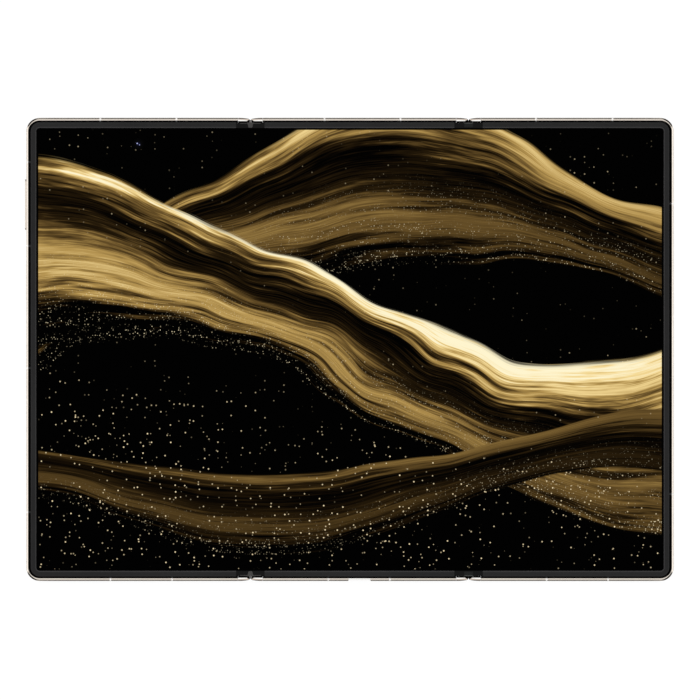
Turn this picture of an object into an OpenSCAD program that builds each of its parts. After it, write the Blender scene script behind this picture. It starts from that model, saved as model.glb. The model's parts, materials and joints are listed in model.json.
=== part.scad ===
// Foldable smartphone with three panels and two folds, lying unfolded with its screen up.
// +X points to the screen's right, +Y to its top edge and +Z out of the screen.
// The origin is under the centre of the body, at the level of the rear camera's glass.
// The left hinge folds the screen outwards, the right hinge folds it inwards.

/* [Panels] */
// Height of the body, along the folds
body_h = 156.7; // [140:0.1:180]
// Width of the left panel, from its edge to the left fold
left_w = 75.8; // [66:0.1:92]
// Width of the middle panel, between the folds
middle_w = 73.8; // [66:0.1:92]
// Width of the right panel, from the right fold to its edge
right_w = 69.4; // [64:0.1:86]
// Radius of the body's corners, seen from the front
corner_r = 4.6; // [3.5:0.1:8]

/* [Layers] */
// Thickness of the left and middle panels
thin_t = 3.6; // [3.5:0.05:4.4]
// Thickness of the right panel
thick_t = 4.75; // [4.4:0.05:6]
// Height of the camera island over the back
island_t = 3.0; // [2.4:0.1:4]
// Height of the bezels over the display
bezel_proud = 0.15; // [0.1:0.05:0.3]
// Thickness of the display sheet
display_t = 0.45; // [0.35:0.05:0.6]
// Thickness of the plate behind the display
plate_t = 0.4; // [0.3:0.05:0.5]
// Thickness of the back covers
cover_t = 0.5; // [0.4:0.05:0.6]

/* [Rails] */
// Width of the polished rail, seen from the front
rail_w = 1.0; // [0.9:0.05:1.4]
// Thickness of the rail's inner step, which carries the plate and the cover
rail_step = 0.6; // [0.4:0.05:1]
// Drop of the rail below the bezels
rail_drop = 0.2; // [0.1:0.05:0.4]
// Radius of the rail's upper edge
rail_top_r = 0.8; // [0.4:0.05:0.9]
// Radius of the rail's lower edge
rail_low_r = 0.9; // [0.4:0.05:0.9]
// Dark gap between rail and bezel
rail_gap = 0.45; // [0.3:0.05:0.8]
// Width of the bezel strips
bezel_w = 2.0; // [1.5:0.05:3]
// Width of each antenna break
break_w = 0.6; // [0.4:0.05:1]

/* [Hinges] */
// Distance between the two axes of the left hinge
left_axes = 2.6; // [2.5:0.05:3]
// Distance between the two axes of the right hinge
right_axes = 3.0; // [2.8:0.05:3.4]
// Gap between the backs when the left hinge is folded
left_fold_gap = 0.4; // [0.3:0.05:0.6]
// Gap between the bezels when the right hinge is folded
right_fold_gap = 0.3; // [0.2:0.05:0.5]
// Radius of the left spine about its axes
left_spine_r = 1.85; // [1.6:0.05:1.9]
// Radius of the right spine about its axes
right_spine_r = 1.65; // [1.4:0.05:1.7]
// Gap between a spine and the wings that turn round it
spine_gap = 0.15; // [0.1:0.05:0.25]
// Radius of the left hinge's pins
left_pin_r = 0.5; // [0.4:0.05:0.6]
// Radius of the right hinge's pins
right_pin_r = 0.35; // [0.3:0.05:0.45]
// Radial clearance of the wings' eyes on the pins
pin_gap = 0.05; // [0.03:0.01:0.1]
// Length of the bright knuckle ends, from the fold
knuckle_reach = 4.2; // [3.8:0.1:5]
// Thickness of the knuckle ends along the fold
knuckle_t = 1.6; // [1.4:0.05:1.7]
// How far the knuckle ends curve in from the edge at the notch
knuckle_sweep_in = 0.4; // [0.3:0.05:0.6]
// Half width of the notch between the left hinge's knuckle ends
notch_half = 0.3; // [0.25:0.05:0.6]
// Radius of the knuckle ends' corners at the notch
notch_round = 0.7; // [0.4:0.05:0.9]
// Width of each arm that holds a wing on its pin
arm_w = 3.0; // [2:0.1:5]

/* [Keys] */
// Length of the volume rocker
rocker_len = 17.2; // [14:0.1:22]
// Distance of the rocker's centre below the body's top edge
rocker_drop = 29.35; // [25:0.05:34]
// How far the rocker stands out of the rail
rocker_proud = 0.45; // [0.3:0.05:0.6]
// Length of the power key
power_len = 12.2; // [10:0.1:15]
// Distance of the power key's centre below the rocker's
power_drop = 26.2; // [22:0.1:30]
// How far the power key stands out of the rail
power_proud = 0.1; // [0:0.05:0.3]
// Height of both keys, across the rail
key_h = 1.7; // [1.4:0.05:1.8]
// Clearance round both keys
key_gap = 0.12; // [0.08:0.01:0.2]

/* [Ports and cameras] */
// Width of the USB-C opening
usb_w = 8.34; // [8.3:0.01:8.6]
// Height of the USB-C opening
usb_h = 2.5; // [2.4:0.01:2.6]
// Depth of the USB-C socket
usb_depth = 6.6; // [6:0.1:8]
// Length of the SIM tray's door
tray_len = 12.6; // [11:0.1:14]
// Distance of the SIM tray from the left fold
tray_x = 19; // [14:0.5:34]
// Depth of the SIM tray behind its door
tray_depth = 15.6; // [14:0.1:18]
// Distance of the front camera below the body's top edge
selfie_drop = 8.85; // [7:0.05:14]
// Radius of the hole in the display for the front camera
selfie_r = 2.0; // [1.6:0.05:2.6]
// Radius of the rear camera island
island_r = 17; // [15:0.5:20]
// Distance of the island's centre below the body's top edge
island_drop = 25; // [22:0.5:40]

/* [Hidden] */
$fn = 48;

// Places across the body
body_w = left_w + middle_w + right_w;
centre_x = rocker_proud / 2;
left_edge_x = centre_x - body_w / 2;
left_fold_x = left_edge_x + left_w;
right_fold_x = left_fold_x + middle_w;
right_edge_x = right_fold_x + right_w;
half_h = body_h / 2;

// Levels of the layers
thick_back_z = island_t;
bezel_top_z = thick_back_z + thick_t;
thin_back_z = bezel_top_z - thin_t;
display_top_z = bezel_top_z - bezel_proud;
display_low_z = display_top_z - display_t;
plate_low_z = display_low_z - plate_t;
rail_top_z = bezel_top_z - rail_drop;
thin_cover_z = thin_back_z + cover_t;
thick_cover_z = thick_back_z + cover_t;
rail_mid_z = (thin_back_z + rail_top_z) / 2;
bay_h = plate_low_z - thin_cover_z;

// Insets from the body's edge
wall_w = rail_w + rail_step;
bezel_in = rail_w + rail_gap;
bezel_end = bezel_in + bezel_w;
display_in = bezel_in + 0.3;

// Axes of the hinges
left_axis_z = thin_back_z + (left_axes - left_fold_gap) / 2;
right_axis_z = bezel_top_z - (right_axes - right_fold_gap) / 2;
left_pocket_r = left_spine_r + spine_gap;
right_pocket_r = right_spine_r + spine_gap;
left_bend = left_axes / 2 + 1.0;
right_bend = right_axes / 2 + 4.0;
spine_h = body_h - 2 * knuckle_t - 0.1;
cap_len = 2.0;
sweep_run = knuckle_reach - 0.2 - notch_half;
knuckle_sweep = (pow(sweep_run, 2) + pow(knuckle_sweep_in, 2)) / (2 * knuckle_sweep_in);
arm_end = half_h - 18.35;
arm_places = [-arm_end, -20, 20, arm_end];
wing_reach = 8.4;
riser_u = 6.0;
screw_u = 7.2;
screw_end = half_h - 12.35;
screw_places = [-screw_end, -38, 0, 38, screw_end];
fit = 0.05;
slack = 0.1;
big = 400;
corner_run = knuckle_reach - 0.2 - slack - notch_round;
corner_y = half_h - knuckle_sweep + sqrt(pow(knuckle_sweep - notch_round, 2) - pow(corner_run, 2));
corner_turn = asin(corner_run / (knuckle_sweep - notch_round));
left_cover_in = left_axes / 2 + left_pocket_r + 0.3;
left_plate_in = left_axes / 2 + left_pocket_r + 0.1;
right_plate_in = right_bend + 0.2;
right_floor_z = right_axis_z - 0.55;
right_spine_top = display_low_z - right_axis_z - 0.15;
left_eye_r = (left_axes - left_fold_gap) / 2 - fit;
right_eye_r = 0.7;
pin_end = half_h - knuckle_sweep_in - 0.2;
bezel_stop = 4.8;
relief_flat = max(left_w - middle_w, 0) + rocker_proud + 0.75;
relief_run = 1.8;
relief_shift = 0.2;
relief_end = relief_flat + relief_run + relief_shift;
bay_start = max(wing_reach + 1, relief_end + 0.2);

// Keys, tray, port and cameras
rocker_y = half_h - rocker_drop;
power_y = rocker_y - power_drop;
key_flange_x = wall_w + 0.3;
key_dome_x = key_flange_x + 0.6;
tray_centre_x = left_fold_x - tray_x;
tray_end_y = -half_h + tray_depth;
middle_x = (left_fold_x + right_fold_x) / 2;
usb_wall = 0.12;
scoop_w = 7.2;
scoop_in = 0.4;
usb_z = display_low_z - usb_h / 2 - usb_wall - 0.03;
selfie_x = left_edge_x + left_w / 2;
selfie_y = half_h - selfie_drop;
island_x = right_fold_x + max(right_w / 2 + 2, relief_end + island_r + 0.5);
island_y = half_h - island_drop;
mic_x = island_x + island_r + 3;
// Sound holes in the bottom rail in front of the outer loudspeaker
speaker_holes = [for (i = [0 : 5]) island_x + 12.8 + 2 * i];
speaker_hole_r = 0.5;
// Hole in the tray's door for the ejecting pin
pin_hole_r = 0.4;
board_low_y = island_y - island_r - 28.35;
ring_w = 1.5;
ring_seat = 2.4;
glass_z = 0.1;
glass_t = 0.6;

// Screws of the wings
screw_head_r = 0.9;
screw_head_h = 0.4;
screw_r = 0.5;

// Battery cells: distances from the body's bottom and top edges, gap to the wings, folded seal
left_cell_in = [21.35, 20.35];
middle_cell_in = [22.35, 16.35];
right_cell_in = 18.35;
cell_gap = 0.8;
key_room = 8;
edge_room = 5;
seal_in = 2;
seal_w = 3;
seal_t = 0.8;

// Boards and the modules on and beside them
board_gap = 6;
usb_board_w = 28;
usb_board_in = 19.35;
can_size = [22, 21];
can_wall = 0.3;
can_drop = 0.9;
motor_size = [16, 7];
motor_in = 4.85;
speaker_in = 13;
earpiece_w = 13;
earpiece_d = 3.2;
selfie_body_w = 6.6;
dome_r = 0.85;
dome_h = 0.4;
tongue_w = 6.7;
tongue_t = 0.7;

// Antenna breaks: distances from the body's centre
top_breaks = [-84.4, -58.7, -8.6, 17.1, 62.9, 88.8];
low_breaks = [-81.0, -60.2, -7.3, 13.5, 66.5, 87.3];
left_breaks = [half_h - 14.95, rocker_y - 14, -6.3, 23.35 - half_h];
right_breaks = [49.3, -48.9];

// Colours
rail_colour = [0.78, 0.74, 0.69];
bezel_colour = [0.19, 0.19, 0.19];
cover_colour = [0.10, 0.10, 0.10];
display_colour = [0.05, 0.04, 0.03];
steel_colour = [0.66, 0.66, 0.67];
gold_colour = [0.80, 0.62, 0.36];
board_colour = [0.10, 0.30, 0.20];
cell_colour = [0.22, 0.23, 0.25];
break_colour = [0.86, 0.80, 0.72];

// ---- Helpers ----

// Children drawn for a panel to the right of a fold, turned to the asked side of it
module beside(fold_x, side) {
  translate([fold_x, 0, 0])
    mirror([side < 0 ? 1 : 0, 0, 0])
      children();
}

// Children and their mirror image across the body's height
module top_and_bottom() {
  children();
  mirror([0, 1, 0]) children();
}

// A box from one corner to the other
module block(low, high) {
  translate(low) cube(high - low);
}

// A round bar along the folds
module bar_y(r, y0, y1) {
  translate([0, y1, 0]) rotate([90, 0, 0]) cylinder(r = r, h = y1 - y0);
}

// Plan of the body, drawn in from its edge, between two places across it
module plan(inset, x0, x1) {
  r = max(corner_r - inset, 0.6);
  w = body_w - 2 * inset;
  h = body_h - 2 * inset;
  intersection() {
    translate([centre_x, 0]) {
      square([w - 2 * r, h], center = true);
      square([w, h - 2 * r], center = true);
      for (sx = [-1, 1], sy = [-1, 1])
        translate([sx * (w / 2 - r), sy * (h / 2 - r)]) circle(r);
    }
    translate([x0, -big / 2]) square([x1 - x0, big]);
  }
}

// Section of a rail: x is the distance from the body's edge, y the level
module rail_section(back_z) {
  translate([0, back_z + rail_low_r])
    square([rail_w, rail_top_z - rail_top_r - back_z - rail_low_r]);
  translate([rail_low_r, back_z]) square([rail_w - rail_low_r, rail_low_r]);
  translate([rail_top_r, rail_top_z - rail_top_r]) square([rail_w - rail_top_r, rail_top_r]);
  intersection() {
    union() {
      translate([rail_low_r, back_z + rail_low_r]) circle(rail_low_r);
      translate([rail_top_r, rail_top_z - rail_top_r]) circle(rail_top_r);
    }
    square([rail_w, big]);
  }
  translate([rail_w - fit, back_z + cover_t])
    square([rail_step + fit, display_low_z - back_z - cover_t]);
}

// Rail along the top edge between two places across the body
module rail_along_top(back_z, x0, x1) {
  translate([x0, 0, 0]) rotate([90, 0, 90]) linear_extrude(x1 - x0)
    translate([half_h, 0]) mirror([1, 0]) rail_section(back_z);
}

// Rail up the left edge between two heights
module rail_up_left(back_z, y0, y1) {
  translate([left_edge_x, y1, 0]) rotate([90, 0, 0]) linear_extrude(y1 - y0)
    rail_section(back_z);
}

// Rails round an outer panel's three edges, drawn for the left one
module rail_bend(back_z, fold_x) {
  top_and_bottom() {
    rail_along_top(back_z, left_edge_x + corner_r, fold_x - knuckle_reach);
    translate([left_edge_x + corner_r, half_h - corner_r, 0]) rotate([0, 0, 90])
      rotate_extrude(angle = 90) translate([corner_r, 0]) mirror([1, 0]) rail_section(back_z);
  }
  rail_up_left(back_z, corner_r - half_h, half_h - corner_r);
}

// Gaps that the antenna breaks fill, cut through the rails
module break_cut(back_z, places, side) {
  for (x = places)
    translate([centre_x + x - break_w / 2, side * half_h - wall_w, back_z - 1])
      cube([break_w, 2 * wall_w, rail_top_z - back_z + 2]);
}

// Turns children drawn for the left edge round to the right edge
module to_right_edge() {
  translate([2 * centre_x, 0, 0]) mirror([1, 0, 0]) children();
}

// Round-ended bar across X with its length on Y, used for keys and slots
module key_bar(len, h, x0, x1) {
  translate([x0, 0, rail_mid_z]) rotate([90, 0, 90]) linear_extrude(x1 - x0) {
    square([len - h, h], center = true);
    for (s = [-1, 1]) translate([s * (len - h) / 2, 0]) circle(h / 2);
  }
}

// Room that a frame and a cover leave for the knuckle ends of a wing
module knuckle_room(fold_x, side) {
  beside(fold_x, side) top_and_bottom()
    block([-1, half_h - knuckle_t - fit, 0], [knuckle_reach, half_h + 1, bezel_top_z + 1]);
}

// ---- Shared parts of the panels ----

// Plate behind the display between two places across the body
module mid_plate(x0, x1) {
  translate([0, 0, plate_low_z]) linear_extrude(plate_t) plan(wall_w - fit, x0, x1);
}

// One flat section of the display
module display_section(x0, x1) {
  color(display_colour) translate([0, 0, display_low_z]) linear_extrude(display_t)
    plan(display_in, x0, x1);
}

// Raised strip over the display's edge, with the skirt outside the sheet
module bezel_strip(x0, x1) {
  color(bezel_colour) difference() {
    translate([0, 0, display_low_z]) linear_extrude(bezel_top_z - display_low_z)
      plan(bezel_in, x0, x1);
    translate([0, 0, display_low_z - 1]) linear_extrude(display_t + 1)
      plan(display_in, x0 - 1, x1 + 1);
    translate([0, 0, display_low_z - 1]) linear_extrude(bezel_top_z)
      plan(bezel_end, x0 - 1, x1 + 1);
  }
}

// Flat back cover of a thin panel
module flat_cover(x0, x1) {
  translate([0, 0, thin_back_z]) linear_extrude(cover_t) plan(rail_w + fit, x0, x1);
}

// Antenna breaks of the top and bottom rails that lie between two places
module break_strips(back_z, x0, x1) {
  for (x = top_breaks)
    if (centre_x + x > x0 && centre_x + x < x1)
      rail_along_top(back_z, centre_x + x - break_w / 2, centre_x + x + break_w / 2);
  for (x = low_breaks)
    if (centre_x + x > x0 && centre_x + x < x1)
      mirror([0, 1, 0])
        rail_along_top(back_z, centre_x + x - break_w / 2, centre_x + x + break_w / 2);
}

// Cuts for all breaks in the top and bottom rails
module edge_break_cuts(back_z) {
  break_cut(back_z, top_breaks, 1);
  mirror([0, 1, 0]) break_cut(back_z, low_breaks, 1);
}

// Cuts for the breaks up the left edge
module side_break_cuts(back_z, places) {
  for (y = places)
    block([left_edge_x - 1, y - break_w / 2, back_z - 1],
          [left_edge_x + wall_w, y + break_w / 2, rail_top_z + 1]);
}

// Battery cell with its folded sealing edge
module cell(low, high) {
  color(cell_colour) union() {
    block(low, high);
    block([low[0] + seal_in, high[1] - fit, low[2]],
          [high[0] - seal_in, high[1] + seal_w, low[2] + seal_t]);
  }
}

// ---- Shared parts of the hinges ----

// Countersunk room for the screws of a wing, or the screws themselves
module wing_screws_at(extra) {
  for (y = screw_places)
    translate([screw_u, y, thin_cover_z]) {
      head_low = extra > 0 ? -1 : slack;
      translate([0, 0, head_low])
        cylinder(r = screw_head_r + extra, h = slack + screw_head_h - head_low);
      translate([0, 0, 0.3]) cylinder(r = screw_r + extra, h = plate_t + bay_h - 0.35);
    }
}

// What comes off a knuckle end's outline to round its corner at the notch
module notch_corner() {
  difference() {
    intersection() {
      translate([slack + notch_round, corner_y])
        rotate(corner_turn) translate([-3, -3]) square([3, 6]);
      translate([-1, corner_y]) square([5, 3]);
    }
    translate([slack + notch_round, corner_y]) circle(notch_round, $fn = 48);
  }
}

// Outline in plan of a knuckle end, curved in towards the notch
module knuckle_plan() {
  difference() {
    intersection() {
      translate([knuckle_reach - 0.2, half_h - knuckle_sweep]) circle(knuckle_sweep, $fn = 160);
      square([knuckle_reach - slack, half_h + 1]);
    }
    notch_corner();
  }
  translate([knuckle_reach - 0.3, half_h - 3]) square([0.3 - slack, 3]);
}

// Knuckle end cut from the rail's section, drawn at the top edge from a side profile
module knuckle_end() {
  intersection() {
    translate([0, half_h, 0]) rotate([90, 0, 0]) linear_extrude(knuckle_t) children();
    rail_along_top(thin_back_z, 0, knuckle_reach);
    linear_extrude(bezel_top_z + 1) knuckle_plan();
  }
}

// Side profile of the left hinge's knuckle ends
module left_knuckle_profile() {
  translate([notch_half, left_axis_z]) square([knuckle_reach, rail_top_z - left_axis_z]);
  translate([left_axes / 2, thin_back_z]) square([knuckle_reach, left_axis_z - thin_back_z]);
  translate([left_axes / 2, left_axis_z]) circle(left_eye_r);
}

// Side profile of the right hinge's knuckle ends
module right_knuckle_profile() {
  translate([right_axes / 2, thin_back_z]) square([knuckle_reach, rail_top_z - thin_back_z]);
  translate([slack, thin_back_z])
    square([right_axes / 2, right_axis_z - thin_back_z]);
  translate([right_axes / 2, right_axis_z]) circle(right_axes / 2 - slack);
}

// Wing of the left hinge: bar, four arms with eyes, knuckle ends
module left_wing_shape() {
  axis_u = left_axes / 2;
  half = spine_h / 2;
  color(steel_colour) difference() {
    union() {
      difference() {
        union() {
          block([axis_u, -half, thin_cover_z], [wing_reach, half, plate_low_z]);
          block([axis_u, -half, thin_back_z + fit], [left_cover_in - fit, half, thin_cover_z + fit]);
          block([axis_u, -half, plate_low_z - fit], [left_plate_in - fit, half, display_low_z]);
        }
        translate([axis_u, 0, left_axis_z]) bar_y(left_pocket_r, -half - 1, half + 1);
      }
      for (y = arm_places) {
        translate([axis_u, 0, left_axis_z]) bar_y(left_eye_r, y - arm_w / 2, y + arm_w / 2);
        block([axis_u, y - arm_w / 2, left_axis_z - left_eye_r],
              [left_cover_in - fit, y + arm_w / 2, left_axis_z + 0.3]);
      }
      top_and_bottom() {
        knuckle_end() left_knuckle_profile();
        block([left_cover_in, half - 1, thin_cover_z + fit],
              [knuckle_reach - 2 * slack, half_h - knuckle_t + fit, plate_low_z]);
      }
    }
    translate([axis_u, 0, left_axis_z])
      bar_y(left_pin_r + pin_gap, -pin_end - fit, pin_end + fit);
    wing_screws_at(0.03);
  }
}

// Wing of the right hinge: bar under the display's bay, riser, arms and knuckle ends
module right_wing_shape() {
  axis_u = right_axes / 2;
  half = spine_h / 2;
  color(steel_colour) difference() {
    union() {
      difference() {
        union() {
          block([axis_u, -half, thin_cover_z], [wing_reach, half, right_floor_z]);
          block([riser_u, -half, thin_cover_z], [wing_reach, half, plate_low_z]);
        }
        translate([axis_u, 0, right_axis_z]) bar_y(right_pocket_r, -half - 1, half + 1);
      }
      for (y = arm_places) {
        translate([axis_u, 0, right_axis_z]) bar_y(right_eye_r, y - arm_w / 2, y + arm_w / 2);
        block([axis_u - 0.3, y - arm_w / 2, thin_cover_z],
              [axis_u + 1.3, y + arm_w / 2, right_axis_z - 0.45]);
      }
      top_and_bottom() {
        knuckle_end() right_knuckle_profile();
        block([axis_u + 1.9, half - 1, thin_cover_z + fit],
              [knuckle_reach - 2 * slack, half_h - knuckle_t + fit, right_floor_z]);
      }
    }
    translate([axis_u, 0, right_axis_z])
      bar_y(right_pin_r + pin_gap, -pin_end - fit, pin_end + fit);
    wing_screws_at(0.03);
  }
}

// Section of a spine: a round-ended bar about both axes, cut flat at the display
module spine_section(axes, r, low, high) {
  intersection() {
    union() {
      for (s = [-1, 1]) translate([s * axes / 2, 0]) circle(r, $fn = 64);
      square([axes, 2 * r], center = true);
    }
    translate([-axes - r, low]) square([2 * axes + 2 * r, high - low]);
  }
}

// Solid of a spine between two heights
module spine_bar(fold_x, axes, axis_z, r, low, high, y0, y1) {
  translate([fold_x, y1, axis_z]) rotate([90, 0, 0]) linear_extrude(y1 - y0)
    spine_section(axes, r, low, high);
}

// Pins of a hinge, one on each axis
module hinge_pins(fold_x, axes, axis_z, r) {
  color(steel_colour)
    for (s = [-1, 1])
      translate([fold_x + s * axes / 2, 0, axis_z]) bar_y(r, -pin_end, pin_end);
}

// ---- Left panel ----

module left_frame() {
  color(rail_colour) difference() {
    union() {
      rail_bend(thin_back_z, left_fold_x);
      mid_plate(left_edge_x, left_fold_x - left_plate_in);
    }
    edge_break_cuts(thin_back_z);
    side_break_cuts(thin_back_z, left_breaks);
    knuckle_room(left_fold_x, -1);
    translate([0, rocker_y, 0])
      key_bar(rocker_len + 2 * key_gap, key_h + 2 * key_gap, left_edge_x - 1, left_edge_x + 2);
    translate([0, power_y, 0])
      key_bar(power_len + 2 * key_gap, key_h + 2 * key_gap, left_edge_x - 1, left_edge_x + 2);
    translate([selfie_x, selfie_y, 0]) cylinder(r = selfie_r, h = bezel_top_z + 1);
    translate([tray_centre_x, -half_h, 0]) rotate([0, 0, 90])
      key_bar(tray_len + 2 * key_gap, key_h + 2 * key_gap, -1, wall_w + 1);
    beside(left_fold_x, -1) wing_screws_at(0.03);
  }
}

module left_back_cover() {
  color(cover_colour) difference() {
    flat_cover(left_edge_x, left_fold_x - left_cover_in);
    knuckle_room(left_fold_x, -1);
  }
}

module left_bezel() {
  bezel_strip(left_edge_x, left_fold_x - bezel_stop);
}

module left_display() {
  difference() {
    display_section(left_edge_x, left_fold_x - left_bend);
    translate([selfie_x, selfie_y, 0]) cylinder(r = selfie_r, h = bezel_top_z + 1);
  }
}

module left_battery() {
  cell([left_edge_x + key_room, left_cell_in[0] - half_h, thin_cover_z + slack],
       [left_fold_x - wing_reach - cell_gap, half_h - left_cell_in[1], plate_low_z - slack]);
}

module left_antenna_breaks() {
  color(break_colour) {
    break_strips(thin_back_z, left_edge_x, left_fold_x);
    for (y = left_breaks)
      rail_up_left(thin_back_z, y - break_w / 2, y + break_w / 2);
  }
}

module left_hinge_panel_wing() {
  beside(left_fold_x, -1) left_wing_shape();
}

module left_wing_screws() {
  color(steel_colour) beside(left_fold_x, -1) wing_screws_at(0);
}

module front_camera() {
  color([0.03, 0.03, 0.05]) translate([selfie_x, selfie_y, 0]) {
    block([-selfie_body_w / 2, -selfie_body_w / 2, thin_cover_z + slack],
          [selfie_body_w / 2, selfie_body_w / 2, plate_low_z - fit]);
    translate([0, 0, plate_low_z - 2 * fit])
      cylinder(r = selfie_r - slack, h = display_top_z - plate_low_z);
  }
}

module earpiece() {
  color([0.2, 0.2, 0.22])
    block([selfie_x - earpiece_w / 2, half_h - wall_w - slack - earpiece_d, thin_cover_z + slack],
          [selfie_x + earpiece_w / 2, half_h - wall_w - slack, plate_low_z - slack]);
}

module key_switch_board() {
  board_x = left_edge_x + key_dome_x + dome_h;
  color(board_colour) {
    block([board_x, power_y - 7, thin_cover_z + slack], [board_x + 0.5, rocker_y + 9, plate_low_z - slack]);
    for (y = [power_y, rocker_y - 5.5, rocker_y + 5.5])
      translate([left_edge_x + key_dome_x, y, rail_mid_z]) rotate([0, 90, 0])
        cylinder(r = dome_r, h = dome_h + fit);
  }
}

// A key: round-ended cap through the rail, with a flange inside
module key(len, y, proud) {
  translate([0, y, 0]) {
    key_bar(len, key_h, left_edge_x - proud, left_edge_x + key_flange_x + fit);
    key_bar(len + 1.4, key_h - 0.2, left_edge_x + key_flange_x, left_edge_x + key_flange_x + 0.3);
  }
}

module volume_rocker() {
  color(rail_colour) key(rocker_len, rocker_y, rocker_proud);
}

module power_key() {
  color(rail_colour) key(power_len, power_y, power_proud);
}

module sim_tray() {
  low = rail_mid_z - 0.35;
  color(rail_colour) difference() {
    union() {
      translate([tray_centre_x, -half_h, 0]) rotate([0, 0, 90])
        key_bar(tray_len, key_h, 0, rail_w + 0.4);
      block([tray_centre_x - tray_len / 2 + 0.9, -half_h + rail_w, low],
            [tray_centre_x + tray_len / 2 - 0.9, tray_end_y, low + 0.7]);
    }
    block([tray_centre_x - tray_len / 2 + 1.8, -half_h + rail_w + 2, low + 0.25],
          [tray_centre_x + tray_len / 2 - 1.8, tray_end_y - 0.9, low + 2]);
    translate([tray_centre_x + tray_len / 2 - 1.5, -half_h - 1, rail_mid_z]) rotate([-90, 0, 0])
      cylinder(r = pin_hole_r, h = 2);
  }
}

module sim_tray_cage() {
  low = rail_mid_z - 0.35;
  half = tray_len / 2 - 0.9;
  color(steel_colour) difference() {
    block([tray_centre_x - half - 0.4, -half_h + wall_w + slack, thin_cover_z + slack],
          [tray_centre_x + half + 0.4, tray_end_y + 0.5, plate_low_z - slack]);
    block([tray_centre_x - half - slack, -half_h, low - slack],
          [tray_centre_x + half + slack, tray_end_y + slack, low + 0.7 + slack]);
  }
}

// ---- Left hinge ----

module left_hinge_spine() {
  color(steel_colour) difference() {
    spine_bar(left_fold_x, left_axes, left_axis_z, left_spine_r,
              thin_back_z - left_axis_z, display_low_z - fit - left_axis_z,
              -spine_h / 2 + cap_len, spine_h / 2 - cap_len);
    for (side = [-1, 1], y = arm_places)
      beside(left_fold_x, side) {
        translate([left_axes / 2, 0, left_axis_z])
          bar_y(left_eye_r + slack / 2, y - arm_w / 2 - slack, y + arm_w / 2 + slack);
        block([left_axes / 2 - left_eye_r - slack / 2, y - arm_w / 2 - slack, 0],
              [left_axes + 2, y + arm_w / 2 + slack, left_axis_z]);
        block([left_axes / 2, y - arm_w / 2 - slack, left_axis_z - fit],
              [left_axes + 2, y + arm_w / 2 + slack, left_axis_z + 0.45]);
      }
    for (s = [-1, 1])
      translate([left_fold_x + s * left_axes / 2, 0, left_axis_z]) bar_y(left_pin_r, -half_h, half_h);
  }
}

module left_hinge_pins() {
  hinge_pins(left_fold_x, left_axes, left_axis_z, left_pin_r);
}

module left_hinge_end_caps() {
  color(bezel_colour) difference() {
    top_and_bottom() {
      spine_bar(left_fold_x, left_axes, left_axis_z, left_spine_r,
                thin_back_z - left_axis_z, display_low_z - fit - left_axis_z,
                spine_h / 2 - cap_len, spine_h / 2);
      block([left_fold_x - notch_half + slack, spine_h / 2 - fit, left_axis_z + left_eye_r + 0.15],
            [left_fold_x + notch_half - slack, half_h - knuckle_sweep_in - 0.35, rail_top_z - 0.15]);
    }
    for (s = [-1, 1])
      translate([left_fold_x + s * left_axes / 2, 0, left_axis_z]) bar_y(left_pin_r, -half_h, half_h);
  }
}

module left_display_bend() {
  display_section(left_fold_x - left_bend, left_fold_x + left_bend);
}

// ---- Middle panel ----

module middle_frame() {
  color(rail_colour) difference() {
    union() {
      top_and_bottom()
        rail_along_top(thin_back_z, left_fold_x + knuckle_reach, right_fold_x - knuckle_reach);
      mid_plate(left_fold_x + left_plate_in, right_fold_x - right_plate_in);
    }
    edge_break_cuts(thin_back_z);
    knuckle_room(left_fold_x, 1);
    knuckle_room(right_fold_x, -1);
    usb_bar(usb_w + 2 * usb_wall + 2 * fit, usb_h + 2 * usb_wall + 2 * fit, -1, wall_w + 1);
    usb_scoop();
    block([middle_x - usb_w / 2 - 0.3, -half_h + wall_w - fit, plate_low_z - 1],
          [middle_x + usb_w / 2 + 0.3, -half_h + usb_depth + 1, display_low_z + 1]);
    beside(left_fold_x, 1) wing_screws_at(0.03);
    beside(right_fold_x, -1) wing_screws_at(0.03);
  }
}

module middle_back_cover() {
  color(cover_colour) difference() {
    flat_cover(left_fold_x + left_cover_in, right_fold_x - slack);
    knuckle_room(left_fold_x, 1);
    knuckle_room(right_fold_x, -1);
    block([middle_x - usb_w / 2 - 0.3, -half_h, usb_z - usb_h / 2 - usb_wall - 0.03],
          [middle_x + usb_w / 2 + 0.3, -half_h + usb_depth + 1, thin_cover_z + 1]);
  }
}

module middle_bezel() {
  bezel_strip(left_fold_x + bezel_stop, right_fold_x - bezel_stop);
}

module middle_display() {
  display_section(left_fold_x + left_bend, right_fold_x - right_bend);
}

module middle_battery() {
  cell([left_fold_x + wing_reach + cell_gap, middle_cell_in[0] - half_h, thin_cover_z + slack],
       [right_fold_x - wing_reach - cell_gap, half_h - middle_cell_in[1], plate_low_z - slack]);
}

module middle_antenna_breaks() {
  color(break_colour) break_strips(thin_back_z, left_fold_x, right_fold_x);
}

module left_hinge_middle_wing() {
  beside(left_fold_x, 1) left_wing_shape();
}

module right_hinge_middle_wing() {
  beside(right_fold_x, -1) right_wing_shape();
}

module middle_wing_screws() {
  color(steel_colour) {
    beside(left_fold_x, 1) wing_screws_at(0);
    beside(right_fold_x, -1) wing_screws_at(0);
  }
}

// Round-ended bar of the port along Y, from distances inside the bottom edge
module usb_bar(w, h, in0, in1) {
  translate([middle_x, -half_h + in1, usb_z]) rotate([90, 0, 0]) linear_extrude(in1 - in0) {
    square([w - h, h], center = true);
    for (s = [-1, 1]) translate([s * (w - h) / 2, 0]) circle(h / 2);
  }
}

// Scoop in the rail's face in front of the port
module usb_scoop() {
  translate([middle_x, -half_h, 0]) linear_extrude(bezel_top_z + 1)
    polygon([[-scoop_w / 2 - 0.3, -1], [-scoop_w / 2 - 0.3, 0], [-scoop_w / 2, scoop_in],
             [scoop_w / 2, scoop_in], [scoop_w / 2 + 0.3, 0], [scoop_w / 2 + 0.3, -1]]);
}

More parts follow.
